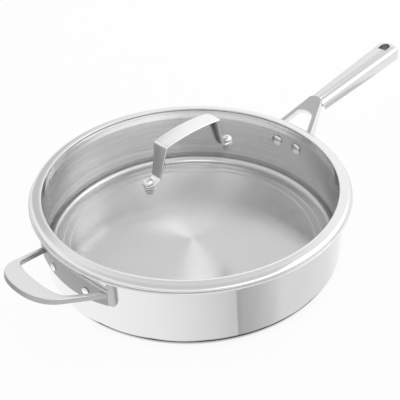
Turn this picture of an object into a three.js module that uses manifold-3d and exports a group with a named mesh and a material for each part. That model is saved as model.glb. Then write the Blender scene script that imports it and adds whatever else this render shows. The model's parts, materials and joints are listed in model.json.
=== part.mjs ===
// Saute pan with a domed glass lid, in millimetres, +Z up.
// The origin is the centre of the pan's underside. +X points along the long handle,
// -X along the helper handle.
import * as THREE from "three";
import { mergeVertices } from "three/addons/utils/BufferGeometryUtils.js";
import Module from "manifold-3d";

const wasm = await Module();
wasm.setup();

// Pan: one clad sheet pressed to shape
const PAN_INNER_RADIUS = 150;
const PAN_HEIGHT = 70;
const PAN_WALL = 2.6;
const PAN_CORNER = 7.5;
const LIP_CURVE = 8;
const LIP_FLAT = 2;

// Lid: domed glass bedded in a rolled steel rim, with a skirt that hangs inside the pan
const LID_SIDE_PLAY = 2;
const SKIRT_DEPTH = 8;
const RIM_SHEET = 0.7;
const RIM_SETBACK = 1.4;
const RIM_BAND = 12;
const RIM_EDGE = 1.2;
const GLASS_THICK = 3.2;
const GLASS_GRIP = 5;
const GLASS_BRIM = 2;
const DOME_RISE = 23.5;
const BEDDING_THICK = 0.4;

// Lid handle: a steel strap bent to an arch, with a foot at each end
const LID_RIVET_SPACING = 106;
const STRAP_THICK = 2.6;
const STRAP_CHAMFER = 0.8;
const BAR_RISE = 39.6;
const BAR_ARCH = 4.5;
const BAR_LENGTH = 71;
const BAR_MIDDLE_WIDTH = 20;
const BAR_END_WIDTH = 16.4;
const LEG_FOOT_WIDTH = 11;
const LEG_FOOT_SPACING = 86;
const FOOT_WIDTH = 10.8;
const STRAP_BEND = 4;

// Lid rivets and the washers that keep metal off the glass
const LID_RIVET_SHANK = 5;
const LID_RIVET_HEAD = 9.8;
const LID_RIVET_DOME = 4.9;
const LID_RIVET_TAIL = 8;
const LID_RIVET_TAIL_DOME = 1.5;
const GLASS_HOLE = 7;
const WASHER_SOFT_THICK = 1.2;
const WASHER_SOFT_WIDTH = 11.6;
const WASHER_STEEL_THICK = 1;
const WASHER_STEEL_WIDTH = 11.6;

// Wall rivets of both pan handles
const RIVET_SHANK = 6;
const RIVET_HEAD = 11.8;
const RIVET_DOME = 2.4;
const RIVET_TAIL = 8;
const RIVET_TAIL_DOME = 1.6;

// Saddle plates that spread each handle's load on the wall
const SADDLE_THICK = 3;
const SADDLE_ABOVE_RIVETS = 15;
const SADDLE_BELOW_RIVETS = 11;
const SADDLE_ARCH = 3;
const SADDLE_EDGE = 2;
const EAR_RAISE = 5;
const EAR_ROUND = 3;

// Long handle: a cast two-legged fork whose tang is set in a hollow grip
const FORK_SLOPE = 31.8;
const FORK_DROP = 8.8;
const FORK_LENGTH = 56;
const FORK_TIP_BULGE = 4.5;
const FORK_TIP_WIDTH = 17;
const FORK_ROOT_WIDTH = 51.4;
const FORK_ARM_WIDTH = 5.3;
const FORK_OPENING = 34.5;
const FORK_ARCH = 5.6;
const FORK_THICK = 7;
const FORK_FLARE = 5;
const FORK_RIVET_DROP = 21.3;
const FORK_RIVET_SPACING = 27.8;
const FORK_SADDLE_WIDTH = 68;
const FORK_EAR_WIDTH = 15;
const TANG_LENGTH = 24;
const TANG_THICK = 6;

const GRIP_SLOPE = 7.4;
const GRIP_LENGTH = 144;
const GRIP_FRONT_WIDTH = 18.2;
const GRIP_END_WIDTH = 24;
const GRIP_FRONT_HEIGHT = 17.8;
const GRIP_END_HEIGHT = 18.2;
const GRIP_EDGE = 4.2;
const GRIP_CROWN = 1.2;
const GRIP_WALL = 1.6;
const GRIP_END_ROUND = 7;
const GRIP_SOLID_END = 30;
const HANG_HOLE_LENGTH = 13.6;
const HANG_HOLE_WIDTH = 11.2;
const HANG_HOLE_INSET = 7.4;
const HANG_HOLE_CORNER = 2;

// Helper handle: a cast flat loop on a wide saddle plate
const HELPER_SLOPE = 18;
const HELPER_DROP = 15.9;
const HELPER_LENGTH = 57.4;
const HELPER_BAR = 20.7;
const HELPER_ROOT_WIDTH = 92;
const HELPER_END_WIDTH = 62;
const HELPER_ARM_ROOT = 4.2;
const HELPER_ARM_END = 6;
const HELPER_CORNER = 24;
const HELPER_INNER_CORNER = 11;
const HELPER_THICK = 5.4;
const HELPER_EDGE = 0.9;
const HELPER_RIVET_DROP = 25;
const HELPER_RIVET_SPACING = 46.8;
const HELPER_SADDLE_WIDTH = 109.5;
const HELPER_EAR_WIDTH = 6.5;

// Clearances and facets
const SEAT_GAP = 0.3;
const HEAD_GAP = 0.4;
const HOLE_PLAY = 0.3;
const ROUND_SIDES = 64;
const RIVET_SIDES = 12;
const ARC_STEPS = 3;
const CURVE_STEPS = 5;
const DOME_STEPS = 8;

// Levels and radii that follow from the sizes above
const panOuterRadius = PAN_INNER_RADIUS + PAN_WALL;
const wallTop = PAN_HEIGHT - LIP_CURVE;
const lipRadius = PAN_INNER_RADIUS + LIP_CURVE + LIP_FLAT;
const lipCurveRadius = PAN_INNER_RADIUS + LIP_CURVE;
const rimRadius = lipRadius - RIM_SETBACK;
const skirtRadius = PAN_INNER_RADIUS - LID_SIDE_PLAY;
const bandInner = rimRadius - RIM_BAND;
const glassRadius = bandInner + GLASS_GRIP;
const beddingLevel = PAN_HEIGHT + RIM_SHEET;
const glassLevel = beddingLevel + BEDDING_THICK;
const glassTop = glassLevel + GLASS_THICK;
const domeEdge = bandInner - GLASS_BRIM;
const domeRadius = (domeEdge ** 2 + DOME_RISE ** 2) / (2 * DOME_RISE);
const wallSeat = panOuterRadius + SEAT_GAP;
const saddleFace = wallSeat + SADDLE_THICK;
const radians = THREE.MathUtils.degToRad;
const lerp = THREE.MathUtils.lerp;

// Merges shared corners, drops empty triangles and turns the faces outward.
function weld(geometry) {
  geometry.deleteAttribute("normal");
  geometry.deleteAttribute("uv");
  const merged = mergeVertices(geometry, 1e-3);
  const at = merged.getAttribute("position");
  const corner = [0, 1, 2].map(() => new THREE.Vector3());
  const kept = [];
  let volume = 0;
  for (let i = 0; i < merged.index.count; i += 3) {
    const ids = [0, 1, 2].map((k) => merged.index.getX(i + k));
    if (new Set(ids).size < 3) continue;
    ids.forEach((id, k) => corner[k].fromBufferAttribute(at, id));
    volume += corner[0].dot(corner[1].clone().cross(corner[2]));
    kept.push(...ids);
  }
  if (volume < 0) kept.reverse();
  merged.setIndex(kept);
  return merged;
}

function toSolid(geometry) {
  const welded = weld(geometry);
  const vertProperties = new Float32Array(welded.getAttribute("position").array);
  const triVerts = new Uint32Array(welded.index.array);
  return new wasm.Manifold(new wasm.Mesh({ numProp: 3, vertProperties, triVerts }));
}

function fromSolid(solid) {
  const mesh = solid.getMesh();
  const geometry = new THREE.BufferGeometry();
  geometry.setAttribute("position", new THREE.BufferAttribute(mesh.vertProperties, 3));
  geometry.setIndex(new THREE.BufferAttribute(mesh.triVerts, 1));
  return geometry;
}

function join(first, ...others) {
  return fromSolid(others.reduce((solid, next) => solid.add(toSolid(next)), toSolid(first)));
}

function cut(body, ...tools) {
  return fromSolid(tools.reduce((solid, tool) => solid.subtract(toSolid(tool)), toSolid(body)));
}

// Revolves a profile of (radius, height) points round Z.
function revolve(points, sides = ROUND_SIDES) {
  return weld(new THREE.LatheGeometry(points, sides).rotateX(Math.PI / 2));
}

function revolveRing(points, sides = ROUND_SIDES) {
  return revolve([...points, points[0]], sides);
}

function ring(inner, outer, bottom, top, sides) {
  const section = [[inner, bottom], [outer, bottom], [outer, top], [inner, top]];
  return revolveRing(section.map(([r, z]) => new THREE.Vector2(r, z)), sides);
}

function rod(diameter, from, to) {
  const length = to - from;
  const rodShape = new THREE.CylinderGeometry(diameter / 2, diameter / 2, length, RIVET_SIDES);
  return rodShape.rotateX(Math.PI / 2).translate(0, 0, from + length / 2);
}

// Triangles that close a loop of points, facing along or against the loop's own normal.
function capTriangles(loop, along) {
  const normal = new THREE.Vector3();
  loop.forEach((p, i) => normal.add(p.clone().cross(loop[(i + 1) % loop.length])));
  const turn = new THREE.Quaternion().setFromUnitVectors(normal.normalize(), new THREE.Vector3(0, 0, 1));
  const flat = loop.map((p) => p.clone().applyQuaternion(turn)).map((p) => new THREE.Vector2(p.x, p.y));
  return THREE.ShapeUtils.triangulateShape(flat, []).map((face) => {
    const [a, b, c] = face.map((i) => flat[i]);
    const turnsLeft = b.clone().sub(a).cross(c.clone().sub(a)) > 0;
    return turnsLeft === along ? face : [face[0], face[2], face[1]];
  });
}

// A closed body through a row of loops that all have the same number of points.
function loft(loops) {
  const count = loops[0].length;
  const last = loops.length - 1;
  const faces = capTriangles(loops[0], false);
  faces.push(...capTriangles(loops[last], true).map((face) => face.map((i) => i + last * count)));
  for (let row = 0; row < last; row += 1) {
    for (let i = 0; i < count; i += 1) {
      const a = row * count + i;
      const b = row * count + ((i + 1) % count);
      faces.push([a, b, b + count], [a, b + count, a + count]);
    }
  }
  const geometry = new THREE.BufferGeometry().setFromPoints(loops.flat());
  geometry.setIndex(faces.flat());
  return weld(geometry);
}

function curvePoints(start, control, end, steps) {
  return new THREE.QuadraticBezierCurve(start, control, end).getPoints(steps);
}

function ellipseQuarter(u, v, rise, half, steps) {
  return Array.from({ length: steps + 1 }, (_, i) => {
    const angle = (i / steps) * (Math.PI / 2);
    return new THREE.Vector2(u + rise * Math.sin(angle), v + half * Math.cos(angle));
  });
}

function mirrored(points) {
  return points.map((p) => new THREE.Vector2(p.x, -p.y)).reverse();
}

// The pan's section, from the floor's centre up over the lip and back under the base.
function panBody() {
  const section = new THREE.Path();
  const cornerCentre = PAN_INNER_RADIUS - PAN_CORNER;
  const cornerLevel = PAN_WALL + PAN_CORNER;
  section.moveTo(0, PAN_WALL);
  section.lineTo(cornerCentre, PAN_WALL);
  section.absarc(cornerCentre, cornerLevel, PAN_CORNER, -Math.PI / 2, 0, false);
  section.absarc(lipCurveRadius, wallTop, LIP_CURVE, Math.PI, Math.PI / 2, true);
  section.lineTo(lipRadius, PAN_HEIGHT);
  section.lineTo(lipRadius, PAN_HEIGHT - PAN_WALL);
  section.absarc(lipCurveRadius, wallTop, LIP_CURVE - PAN_WALL, Math.PI / 2, Math.PI, false);
  section.absarc(cornerCentre, cornerLevel, cornerLevel, 0, -Math.PI / 2, true);
  section.lineTo(0, 0);
  return revolve(section.getPoints(ARC_STEPS));
}

// The space that the pan's outside takes up, grown by the seat gap. Handles are trimmed to it.
function panOutsideSpace() {
  const section = new THREE.Path();
  const beyond = lipRadius + SEAT_GAP;
  section.moveTo(0, -PAN_HEIGHT);
  section.lineTo(wallSeat, -PAN_HEIGHT);
  section.absarc(lipCurveRadius, wallTop, LIP_CURVE - PAN_WALL - SEAT_GAP, Math.PI, Math.PI / 2, true);
  section.lineTo(beyond, PAN_HEIGHT - PAN_WALL - SEAT_GAP);
  section.lineTo(beyond, 2 * PAN_HEIGHT);
  section.lineTo(0, 2 * PAN_HEIGHT);
  return revolve(section.getPoints(ARC_STEPS));
}

// Places something on the wall with its own +Z pointing straight out of the pan.
function wallFrame(sideways, level, facing) {
  const angle = Math.asin(sideways / panOuterRadius);
  const frame = new THREE.Matrix4().makeRotationZ(facing + angle);
  frame.multiply(new THREE.Matrix4().makeTranslation(PAN_INNER_RADIUS, 0, level));
  return frame.multiply(new THREE.Matrix4().makeRotationY(Math.PI / 2));
}

function wallRivet() {
  const outside = saddleFace + HEAD_GAP - PAN_INNER_RADIUS;
  const section = new THREE.Path();
  section.moveTo(0, -HEAD_GAP - RIVET_DOME);
  section.absellipse(0, -HEAD_GAP, RIVET_HEAD / 2, RIVET_DOME, -Math.PI / 2, 0, false);
  section.lineTo(RIVET_SHANK / 2, -HEAD_GAP);
  section.lineTo(RIVET_SHANK / 2, outside);
  section.absellipse(0, outside, RIVET_TAIL / 2, RIVET_TAIL_DOME, 0, Math.PI / 2, false);
  return revolve(section.getPoints(2), RIVET_SIDES);
}

function wallRivetHole() {
  return rod(RIVET_SHANK + 2 * HOLE_PLAY, -RIVET_HEAD, saddleFace - PAN_INNER_RADIUS + RIVET_HEAD);
}

// A curved plate along the wall, arched between two taller ears. It still reaches into the wall here.
function saddlePlate(rivetLevel, width, earWidth) {
  const halfTurn = Math.asin(width / 2 / saddleFace);
  const earTurn = Math.asin((width / 2 - earWidth) / saddleFace);
  const roundTurn = EAR_ROUND / saddleFace;
  const bandSteps = 2 * CURVE_STEPS;
  const band = Array.from({ length: bandSteps + 1 }, (_, i) => lerp(-earTurn, earTurn, i / bandSteps));
  const earEnd = halfTurn - roundTurn;
  const ear = [earTurn + roundTurn / 3, earEnd, halfTurn - roundTurn / 4, halfTurn];
  const turns = [...ear.map((turn) => -turn).reverse(), ...band, ...ear];
  const top = rivetLevel + SADDLE_ABOVE_RIVETS;
  const bottom = rivetLevel - SADDLE_BELOW_RIVETS;
  const back = PAN_INNER_RADIUS;
  return loft(turns.map((turn) => {
    const away = Math.abs(turn);
    const inEar = away > earTurn + roundTurn / 4;
    const near = Math.max(0, away - earEnd) / roundTurn;
    const rounding = EAR_ROUND * (1 - Math.sqrt(Math.max(0, 1 - near ** 2)));
    const arch = SADDLE_ARCH * (away / earTurn) ** 2;
    const high = inEar ? top + EAR_RAISE - rounding : top - arch;
    const low = bottom + (inEar ? rounding : 0);
    const lowFace = low + SADDLE_EDGE;
    const lowFoot = saddleFace - SADDLE_EDGE;
    const section = [[back, low], [lowFoot, low], [saddleFace, lowFace], [saddleFace, high], [back, high]];
    return section.map(([r, z]) => new THREE.Vector3(r * Math.cos(turn), r * Math.sin(turn), z));
  }));
}

// Turns a point of a sloping handle, given along, across and above it, into the pan's frame.
function slopeFrame(level, slope) {
  const frame = new THREE.Matrix4().makeTranslation(wallSeat, 0, level);
  return frame.multiply(new THREE.Matrix4().makeRotationY(-radians(slope)));
}

function lift(points, height) {
  return points.map((p) => new THREE.Vector3(p.x, p.y, height));
}

// The fork seen square to its top face. The legs run on through the wall and are trimmed later.
function forkOutline(flare) {
  const tipStart = FORK_LENGTH - FORK_TIP_BULGE;
  const archStart = FORK_OPENING - FORK_ARCH;
  const slopeOut = (FORK_ROOT_WIDTH - FORK_TIP_WIDTH) / 2 / tipStart;
  const outerAt = (u) => FORK_TIP_WIDTH / 2 + slopeOut * (tipStart - u);
  const innerAt = (u) => outerAt(u) - FORK_ARM_WIDTH;
  const root = -2 * SADDLE_THICK - PAN_WALL;
  const outer = [new THREE.Vector2(root, outerAt(root) + flare)];
  outer.push(...ellipseQuarter(tipStart, 0, FORK_TIP_BULGE, FORK_TIP_WIDTH / 2, CURVE_STEPS));
  const inner = ellipseQuarter(archStart, 0, FORK_ARCH, innerAt(archStart), CURVE_STEPS).reverse();
  inner.push(new THREE.Vector2(root, innerAt(root)));
  return [...outer, ...mirrored(outer).slice(1), ...mirrored(inner), ...inner.slice(1)];
}

function forkFrame() {
  return slopeFrame(PAN_HEIGHT - FORK_DROP, FORK_SLOPE);
}

// The grip's frame starts where its top line meets the fork's top face.
function gripFrame() {
  const start = new THREE.Vector3(FORK_LENGTH - FORK_TIP_BULGE / 2, 0, 0).applyMatrix4(forkFrame());
  const frame = new THREE.Matrix4().makeTranslation(start.x, start.y, start.z);
  return frame.multiply(new THREE.Matrix4().makeRotationY(-radians(GRIP_SLOPE)));
}

function handleFork() {
  const arms = loft([
    lift(forkOutline(FORK_FLARE), -FORK_THICK),
    lift(forkOutline(FORK_FLARE), -FORK_THICK / 2),
    lift(forkOutline(0), 0),
  ]).applyMatrix4(forkFrame());
  const tangWidth = GRIP_FRONT_WIDTH - 2 * (GRIP_WALL + SEAT_GAP) - GRIP_EDGE;
  const tangTop = -GRIP_WALL - GRIP_CROWN - SEAT_GAP;
  const tang = new THREE.BoxGeometry(TANG_LENGTH, tangWidth, TANG_THICK);
  tang.translate(TANG_LENGTH / 2 - FORK_TIP_BULGE, 0, tangTop - TANG_THICK / 2).applyMatrix4(gripFrame());
  const rivetLevel = PAN_HEIGHT - FORK_RIVET_DROP;
  const plate = saddlePlate(rivetLevel, FORK_SADDLE_WIDTH, FORK_EAR_WIDTH);
  return cut(join(plate, arms, tang), panOutsideSpace(), ...rivetHoles(FORK_RIVET_SPACING, rivetLevel, 0));
}

// The grip's rounded section: a crowned top, and edges that stay inside its height and width.
function gripSection(along, width, height, edge, inset) {
  const half = width / 2 - inset;
  const top = -inset;
  const bottom = -height + inset;
  const round = Math.max(edge - inset, GRIP_WALL / 2);
  const quarter = (y, z, from) => Array.from({ length: ARC_STEPS + 1 }, (_, i) => {
    const angle = from + (i / ARC_STEPS) * (Math.PI / 2);
    return [y + round * Math.cos(angle), z + round * Math.sin(angle)];
  });
  const shoulder = top - GRIP_CROWN - round;
  const points = [
    ...quarter(-half + round, bottom + round, Math.PI),
    ...quarter(half - round, bottom + round, 1.5 * Math.PI),
    ...quarter(half - round, shoulder, 0),
    [0, top],
    ...quarter(-half + round, shoulder, 0.5 * Math.PI),
  ];
  return points.map(([y, z]) => new THREE.Vector3(along, y, z));
}

function gripSizeAt(along) {
  const share = along / GRIP_LENGTH;
  const width = lerp(GRIP_FRONT_WIDTH, GRIP_END_WIDTH, share);
  return [width, lerp(GRIP_FRONT_HEIGHT, GRIP_END_HEIGHT, share)];
}

function gripHull() {
  const front = -GRIP_FRONT_HEIGHT;
  const roundStart = GRIP_LENGTH - GRIP_END_ROUND;
  const stations = [front, GRIP_LENGTH / 2, roundStart];
  const loops = stations.map((s) => gripSection(s, ...gripSizeAt(s), GRIP_EDGE, 0));
  for (let i = 1; i <= ARC_STEPS; i += 1) {
    const angle = (i / ARC_STEPS) * (Math.PI / 2);
    const along = roundStart + GRIP_END_ROUND * Math.sin(angle);
    const inset = (GRIP_END_ROUND / 2) * (1 - Math.cos(angle));
    const [width, height] = gripSizeAt(along);
    loops.push(gripSection(along, width - inset * 2, height, GRIP_EDGE, inset / 2));
  }
  return loft(loops);
}

function gripHollow() {
  const stations = [-2 * GRIP_FRONT_HEIGHT, GRIP_LENGTH - GRIP_SOLID_END];
  return loft(stations.map((s) => gripSection(s, ...gripSizeAt(s), GRIP_EDGE, GRIP_WALL)));
}

function hangHole() {
  const end = GRIP_LENGTH - HANG_HOLE_INSET;
  const start = end - HANG_HOLE_LENGTH;
  const half = HANG_HOLE_WIDTH / 2;
  const shape = new THREE.Shape();
  shape.moveTo(start + HANG_HOLE_CORNER, -half);
  shape.absarc(end - half, 0, half, -Math.PI / 2, Math.PI / 2, false);
  shape.lineTo(start + HANG_HOLE_CORNER, half);
  shape.quadraticCurveTo(start, half, start, half - HANG_HOLE_CORNER);
  shape.lineTo(start, -half + HANG_HOLE_CORNER);
  shape.quadraticCurveTo(start, -half, start + HANG_HOLE_CORNER, -half);
  const drilling = { depth: 3 * GRIP_END_HEIGHT, bevelEnabled: false, curveSegments: ARC_STEPS + 1 };
  return new THREE.ExtrudeGeometry(shape, drilling).translate(0, 0, -2 * GRIP_END_HEIGHT);
}

// Everything on the pan's side of the fork's rounded tip, so that the grip's mouth follows it.
function forkTipSpace() {
  const tipStart = FORK_LENGTH - FORK_TIP_BULGE;
  const side = GRIP_END_WIDTH;
  const half = FORK_TIP_WIDTH / 2 + SEAT_GAP;
  const outer = [new THREE.Vector2(-FORK_LENGTH, side), new THREE.Vector2(tipStart, side)];
  outer.push(...ellipseQuarter(tipStart, 0, FORK_TIP_BULGE + SEAT_GAP, half, CURVE_STEPS));
  const loop = [...outer, ...mirrored(outer).slice(1)];
  return loft([lift(loop, -3 * GRIP_END_HEIGHT), lift(loop, GRIP_END_HEIGHT)]).applyMatrix4(forkFrame());
}

function handleGrip() {
  const shell = cut(gripHull(), gripHollow(), hangHole()).applyMatrix4(gripFrame());
  return cut(shell, forkTipSpace());
}

// The helper loop seen square to its top face, drawn in by an inset along every edge.
function helperOutline(inset) {
  const rootHalf = HELPER_ROOT_WIDTH / 2;
  const endHalf = HELPER_END_WIDTH / 2;
  const outerAt = (u) => lerp(rootHalf, endHalf, u / HELPER_LENGTH) - inset;
  const armAt = (u) => lerp(HELPER_ARM_ROOT, HELPER_ARM_END, u / (HELPER_LENGTH - HELPER_BAR));
  const innerAt = (u) => outerAt(u) - armAt(u) + 2 * inset;
  const root = -(rootHalf ** 2) / wallSeat;
  const end = HELPER_LENGTH - inset;
  const inside = HELPER_LENGTH - HELPER_BAR + inset;
  const turnOut = HELPER_LENGTH - HELPER_CORNER;
  const turnIn = inside - HELPER_INNER_CORNER;
  const at = (u, v) => new THREE.Vector2(u, v);
  const outer = [at(root, outerAt(root))];
  const outerStart = at(turnOut, outerAt(turnOut));
  outer.push(...curvePoints(outerStart, at(end, outerAt(end)), at(end, 0), 2 * CURVE_STEPS));
  const innerEnd = at(turnIn, innerAt(turnIn));
  const inner = curvePoints(at(inside, 0), at(inside, innerAt(inside)), innerEnd, CURVE_STEPS + 2);
  inner.push(at(root, innerAt(root)));
  return [...outer, ...mirrored(outer).slice(1), ...mirrored(inner), ...inner.slice(1)];
}

function helperHandle() {
  const frame = slopeFrame(PAN_HEIGHT - HELPER_DROP, HELPER_SLOPE);
  const loop = loft([
    lift(helperOutline(HELPER_EDGE), -HELPER_THICK),
    lift(helperOutline(0), -HELPER_THICK + HELPER_EDGE),
    lift(helperOutline(0), -HELPER_EDGE),
    lift(helperOutline(HELPER_EDGE), 0),
  ]).applyMatrix4(frame);
  const rivetLevel = PAN_HEIGHT - HELPER_RIVET_DROP;
  const plate = saddlePlate(rivetLevel, HELPER_SADDLE_WIDTH, HELPER_EAR_WIDTH);
  const holes = rivetHoles(HELPER_RIVET_SPACING, rivetLevel, 0);
  return cut(join(plate, loop), panOutsideSpace(), ...holes).rotateZ(Math.PI);
}

function rivetHoles(spacing, level, facing) {
  const frames = [-1, 1].map((side) => wallFrame((side * spacing) / 2, level, facing));
  return frames.map((frame) => wallRivetHole().applyMatrix4(frame));
}

function domeLevel(radius) {
  return Math.sqrt(domeRadius ** 2 - radius ** 2) - domeRadius + DOME_RISE;
}

// The glass: a flat brim held by the rim, and a dome whose two faces are one glass thickness apart.
function lidGlass() {
  const dome = (level) => Array.from({ length: DOME_STEPS + 1 }, (_, i) => {
    const radius = (i / DOME_STEPS) * domeEdge;
    return new THREE.Vector2(radius, level + domeLevel(radius));
  });
  const edge = [new THREE.Vector2(glassRadius, glassLevel), new THREE.Vector2(glassRadius, glassTop)];
  const blank = revolve([...dome(glassLevel), ...edge, ...dome(glassTop).reverse()]);
  const holes = [-1, 1].map((side) => stackHole(GLASS_HOLE).applyMatrix4(stackFrame(side)));
  return cut(blank, ...holes);
}

// The rim's section: skirt, flange on the pan's lip, rolled edge and the band over the glass.
function lidRim() {
  const bandTop = glassTop + RIM_SHEET;
  const rollStart = glassRadius + SEAT_GAP;
  const outerRoll = [rimRadius - rollStart, bandTop - PAN_HEIGHT - RIM_EDGE];
  const innerRoll = [outerRoll[0] - RIM_SHEET, outerRoll[1] - RIM_SHEET];
  const rollLevel = PAN_HEIGHT + RIM_EDGE;
  const section = new THREE.Path();
  section.moveTo(skirtRadius - RIM_SHEET, PAN_HEIGHT - SKIRT_DEPTH);
  section.lineTo(skirtRadius, PAN_HEIGHT - SKIRT_DEPTH);
  section.lineTo(skirtRadius, PAN_HEIGHT);
  section.lineTo(rimRadius - RIM_EDGE, PAN_HEIGHT);
  section.lineTo(rimRadius, rollLevel);
  section.absellipse(rollStart, rollLevel, ...outerRoll, 0, Math.PI / 2, false);
  section.lineTo(bandInner, bandTop);
  section.lineTo(bandInner, glassTop);
  section.absellipse(rollStart, rollLevel, ...innerRoll, Math.PI / 2, 0, true);
  section.lineTo(rimRadius - RIM_SHEET - RIM_EDGE / 2, beddingLevel);
  section.lineTo(skirtRadius - RIM_SHEET, beddingLevel);
  return revolveRing(section.getPoints(ARC_STEPS));
}

function rimBedding() {
  return ring(skirtRadius - RIM_SHEET, glassRadius, beddingLevel, glassLevel);
}

// The stack at each foot of the lid handle stands square to the glass, with +Z outward.
function stackTilt() {
  return Math.asin(LID_RIVET_SPACING / 2 / domeRadius);
}

function stackOrigin(side) {
  const radius = LID_RIVET_SPACING / 2;
  return new THREE.Vector3(side * radius, 0, glassTop + domeLevel(radius));
}

function stackFrame(side) {
  const origin = stackOrigin(side);
  const frame = new THREE.Matrix4().makeTranslation(origin.x, origin.y, origin.z);
  return frame.multiply(new THREE.Matrix4().makeRotationY(side * stackTilt()));
}

function stackHole(diameter) {
  return rod(diameter, -BAR_RISE, BAR_RISE / 2);
}

const upperWasherLevel = SEAT_GAP;
const footLevel = upperWasherLevel + WASHER_SOFT_THICK + SEAT_GAP;
const headLevel = footLevel + STRAP_THICK + SEAT_GAP;
const lowerWasherLevel = -GLASS_THICK - SEAT_GAP - WASHER_SOFT_THICK;
const backingWasherLevel = lowerWasherLevel - SEAT_GAP - WASHER_STEEL_THICK;
const tailLevel = backingWasherLevel - SEAT_GAP;

function lidRivet() {
  const section = new THREE.Path();
  section.moveTo(0, tailLevel - LID_RIVET_TAIL_DOME);
  section.absellipse(0, tailLevel, LID_RIVET_TAIL / 2, LID_RIVET_TAIL_DOME, -Math.PI / 2, 0, false);
  section.lineTo(LID_RIVET_SHANK / 2, tailLevel);
  section.lineTo(LID_RIVET_SHANK / 2, headLevel);
  section.absellipse(0, headLevel, LID_RIVET_HEAD / 2, LID_RIVET_DOME, 0, Math.PI / 2, false);
  return revolve(section.getPoints(2), RIVET_SIDES);
}

function lidWasher(width, thick, level) {
  return ring(LID_RIVET_SHANK / 2 + HOLE_PLAY, width / 2, level, level + thick, RIVET_SIDES);
}

// The strap's middle line on one side, from the bar's centre over the shoulder and down to the foot's end.
function strapLine() {
  const bar = BAR_LENGTH / 2;
  const barTop = glassTop + DOME_RISE + BAR_RISE - STRAP_THICK / 2;
  const footMiddle = footLevel + STRAP_THICK / 2;
  const onFoot = (along) => {
    const point = new THREE.Vector3(along, 0, footMiddle).applyMatrix4(stackFrame(1));
    return new THREE.Vector2(point.x, point.z);
  };
  const shoulder = new THREE.Vector2(bar, barTop - BAR_ARCH);
  const ankle = onFoot((LEG_FOOT_SPACING - LID_RIVET_SPACING) / 2);
  const footEnd = onFoot(FOOT_WIDTH / 2);
  const towards = (from, to, step) => from.clone().add(to.clone().sub(from).setLength(step));
  const barCurve = Array.from({ length: CURVE_STEPS + 1 }, (_, i) => {
    const share = (i / CURVE_STEPS) * (1 - STRAP_BEND / 2 / bar);
    return new THREE.Vector2(share * bar, barTop - BAR_ARCH * share ** 2);
  });
  const shoulderEnd = towards(shoulder, ankle, STRAP_BEND / 2);
  const ankleStart = towards(ankle, shoulder, STRAP_BEND);
  const ankleEnd = towards(ankle, footEnd, STRAP_BEND);
  const footSteps = [0, 0.5, 0.8, 0.96].map((share) => onFoot((share * FOOT_WIDTH) / 2));
  return [
    ...barCurve.slice(0, -1),
    ...curvePoints(barCurve.at(-1), shoulder, shoulderEnd, ARC_STEPS),
    ...curvePoints(ankleStart, ankle, ankleEnd, ARC_STEPS),
    ...footSteps,
  ];
}

// Half the strap's width at a distance from the lid's centre: bar, leg, foot and the foot's round end.
function strapHalfWidth(distance) {
  const bar = BAR_LENGTH / 2;
  const ankle = LEG_FOOT_SPACING / 2;
  const foot = LID_RIVET_SPACING / 2;
  const share = (from, to) => (distance - from) / (to - from);
  if (distance <= bar) return lerp(BAR_MIDDLE_WIDTH, BAR_END_WIDTH, share(0, bar) ** 2) / 2;
  if (distance <= ankle) return lerp(BAR_END_WIDTH, LEG_FOOT_WIDTH, share(bar, ankle)) / 2;
  if (distance <= foot) return lerp(LEG_FOOT_WIDTH, FOOT_WIDTH, share(ankle, foot)) / 2;
  return Math.sqrt(Math.max((FOOT_WIDTH / 2) ** 2 - (distance - foot) ** 2, STRAP_CHAMFER ** 2));
}

function strapSection(point, ahead, half) {
  const up = new THREE.Vector2(-ahead.y, ahead.x).normalize();
  const thick = STRAP_THICK / 2;
  const chamfer = Math.min(STRAP_CHAMFER, half / 2);
  const low = [[half - chamfer, -thick], [half, -thick + chamfer]];
  const high = [[half, thick - chamfer], [half - chamfer, thick]];
  const corners = [...low, ...high, ...[...low, ...high].map(([y, w]) => [-y, -w])];
  return corners.map(([y, w]) => new THREE.Vector3(point.x + w * up.x, y, point.y + w * up.y));
}

function lidHandle() {
  const right = strapLine();
  const left = right.slice(1).map((p) => new THREE.Vector2(-p.x, p.y)).reverse();
  const line = [...left, ...right];
  const loops = line.map((point, i) => {
    const ahead = line[Math.min(i + 1, line.length - 1)].clone().sub(line[Math.max(i - 1, 0)]);
    return strapSection(point, ahead, strapHalfWidth(Math.abs(point.x)));
  });
  const holeSize = LID_RIVET_SHANK + 2 * HOLE_PLAY;
  const footHole = (side) => rod(holeSize, 0, headLevel + STRAP_THICK).applyMatrix4(stackFrame(side));
  return cut(loft(loops), footHole(-1), footHole(1));
}

const metal = (color, roughness) => new THREE.MeshStandardMaterial({ color, roughness, metalness: 1 });
const brushedSteel = () => metal(0xb9babc, 0.34);
const polishedSteel = () => metal(0xd2d3d5, 0.14);
const castSteel = () => metal(0xc2c3c5, 0.4);
const silicone = () => new THREE.MeshStandardMaterial({ color: 0xd9dad6, roughness: 0.7, metalness: 0 });
const glassLook = { color: 0xeef3f2, roughness: 0.04, metalness: 0, transparent: true, opacity: 0.25 };
const clearGlass = () => new THREE.MeshStandardMaterial(glassLook);

function piece(name, geometry, material) {
  const mesh = new THREE.Mesh(geometry, material);
  mesh.name = name;
  return mesh;
}

function addWallRivets(group, name, spacing, level, facing) {
  ["left", "right"].forEach((label, i) => {
    const rivet = piece(`${name}_rivet_${label}`, wallRivet(), polishedSteel());
    rivet.applyMatrix4(wallFrame(((i ? -1 : 1) * spacing) / 2, level, facing));
    group.add(rivet);
  });
}

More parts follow.
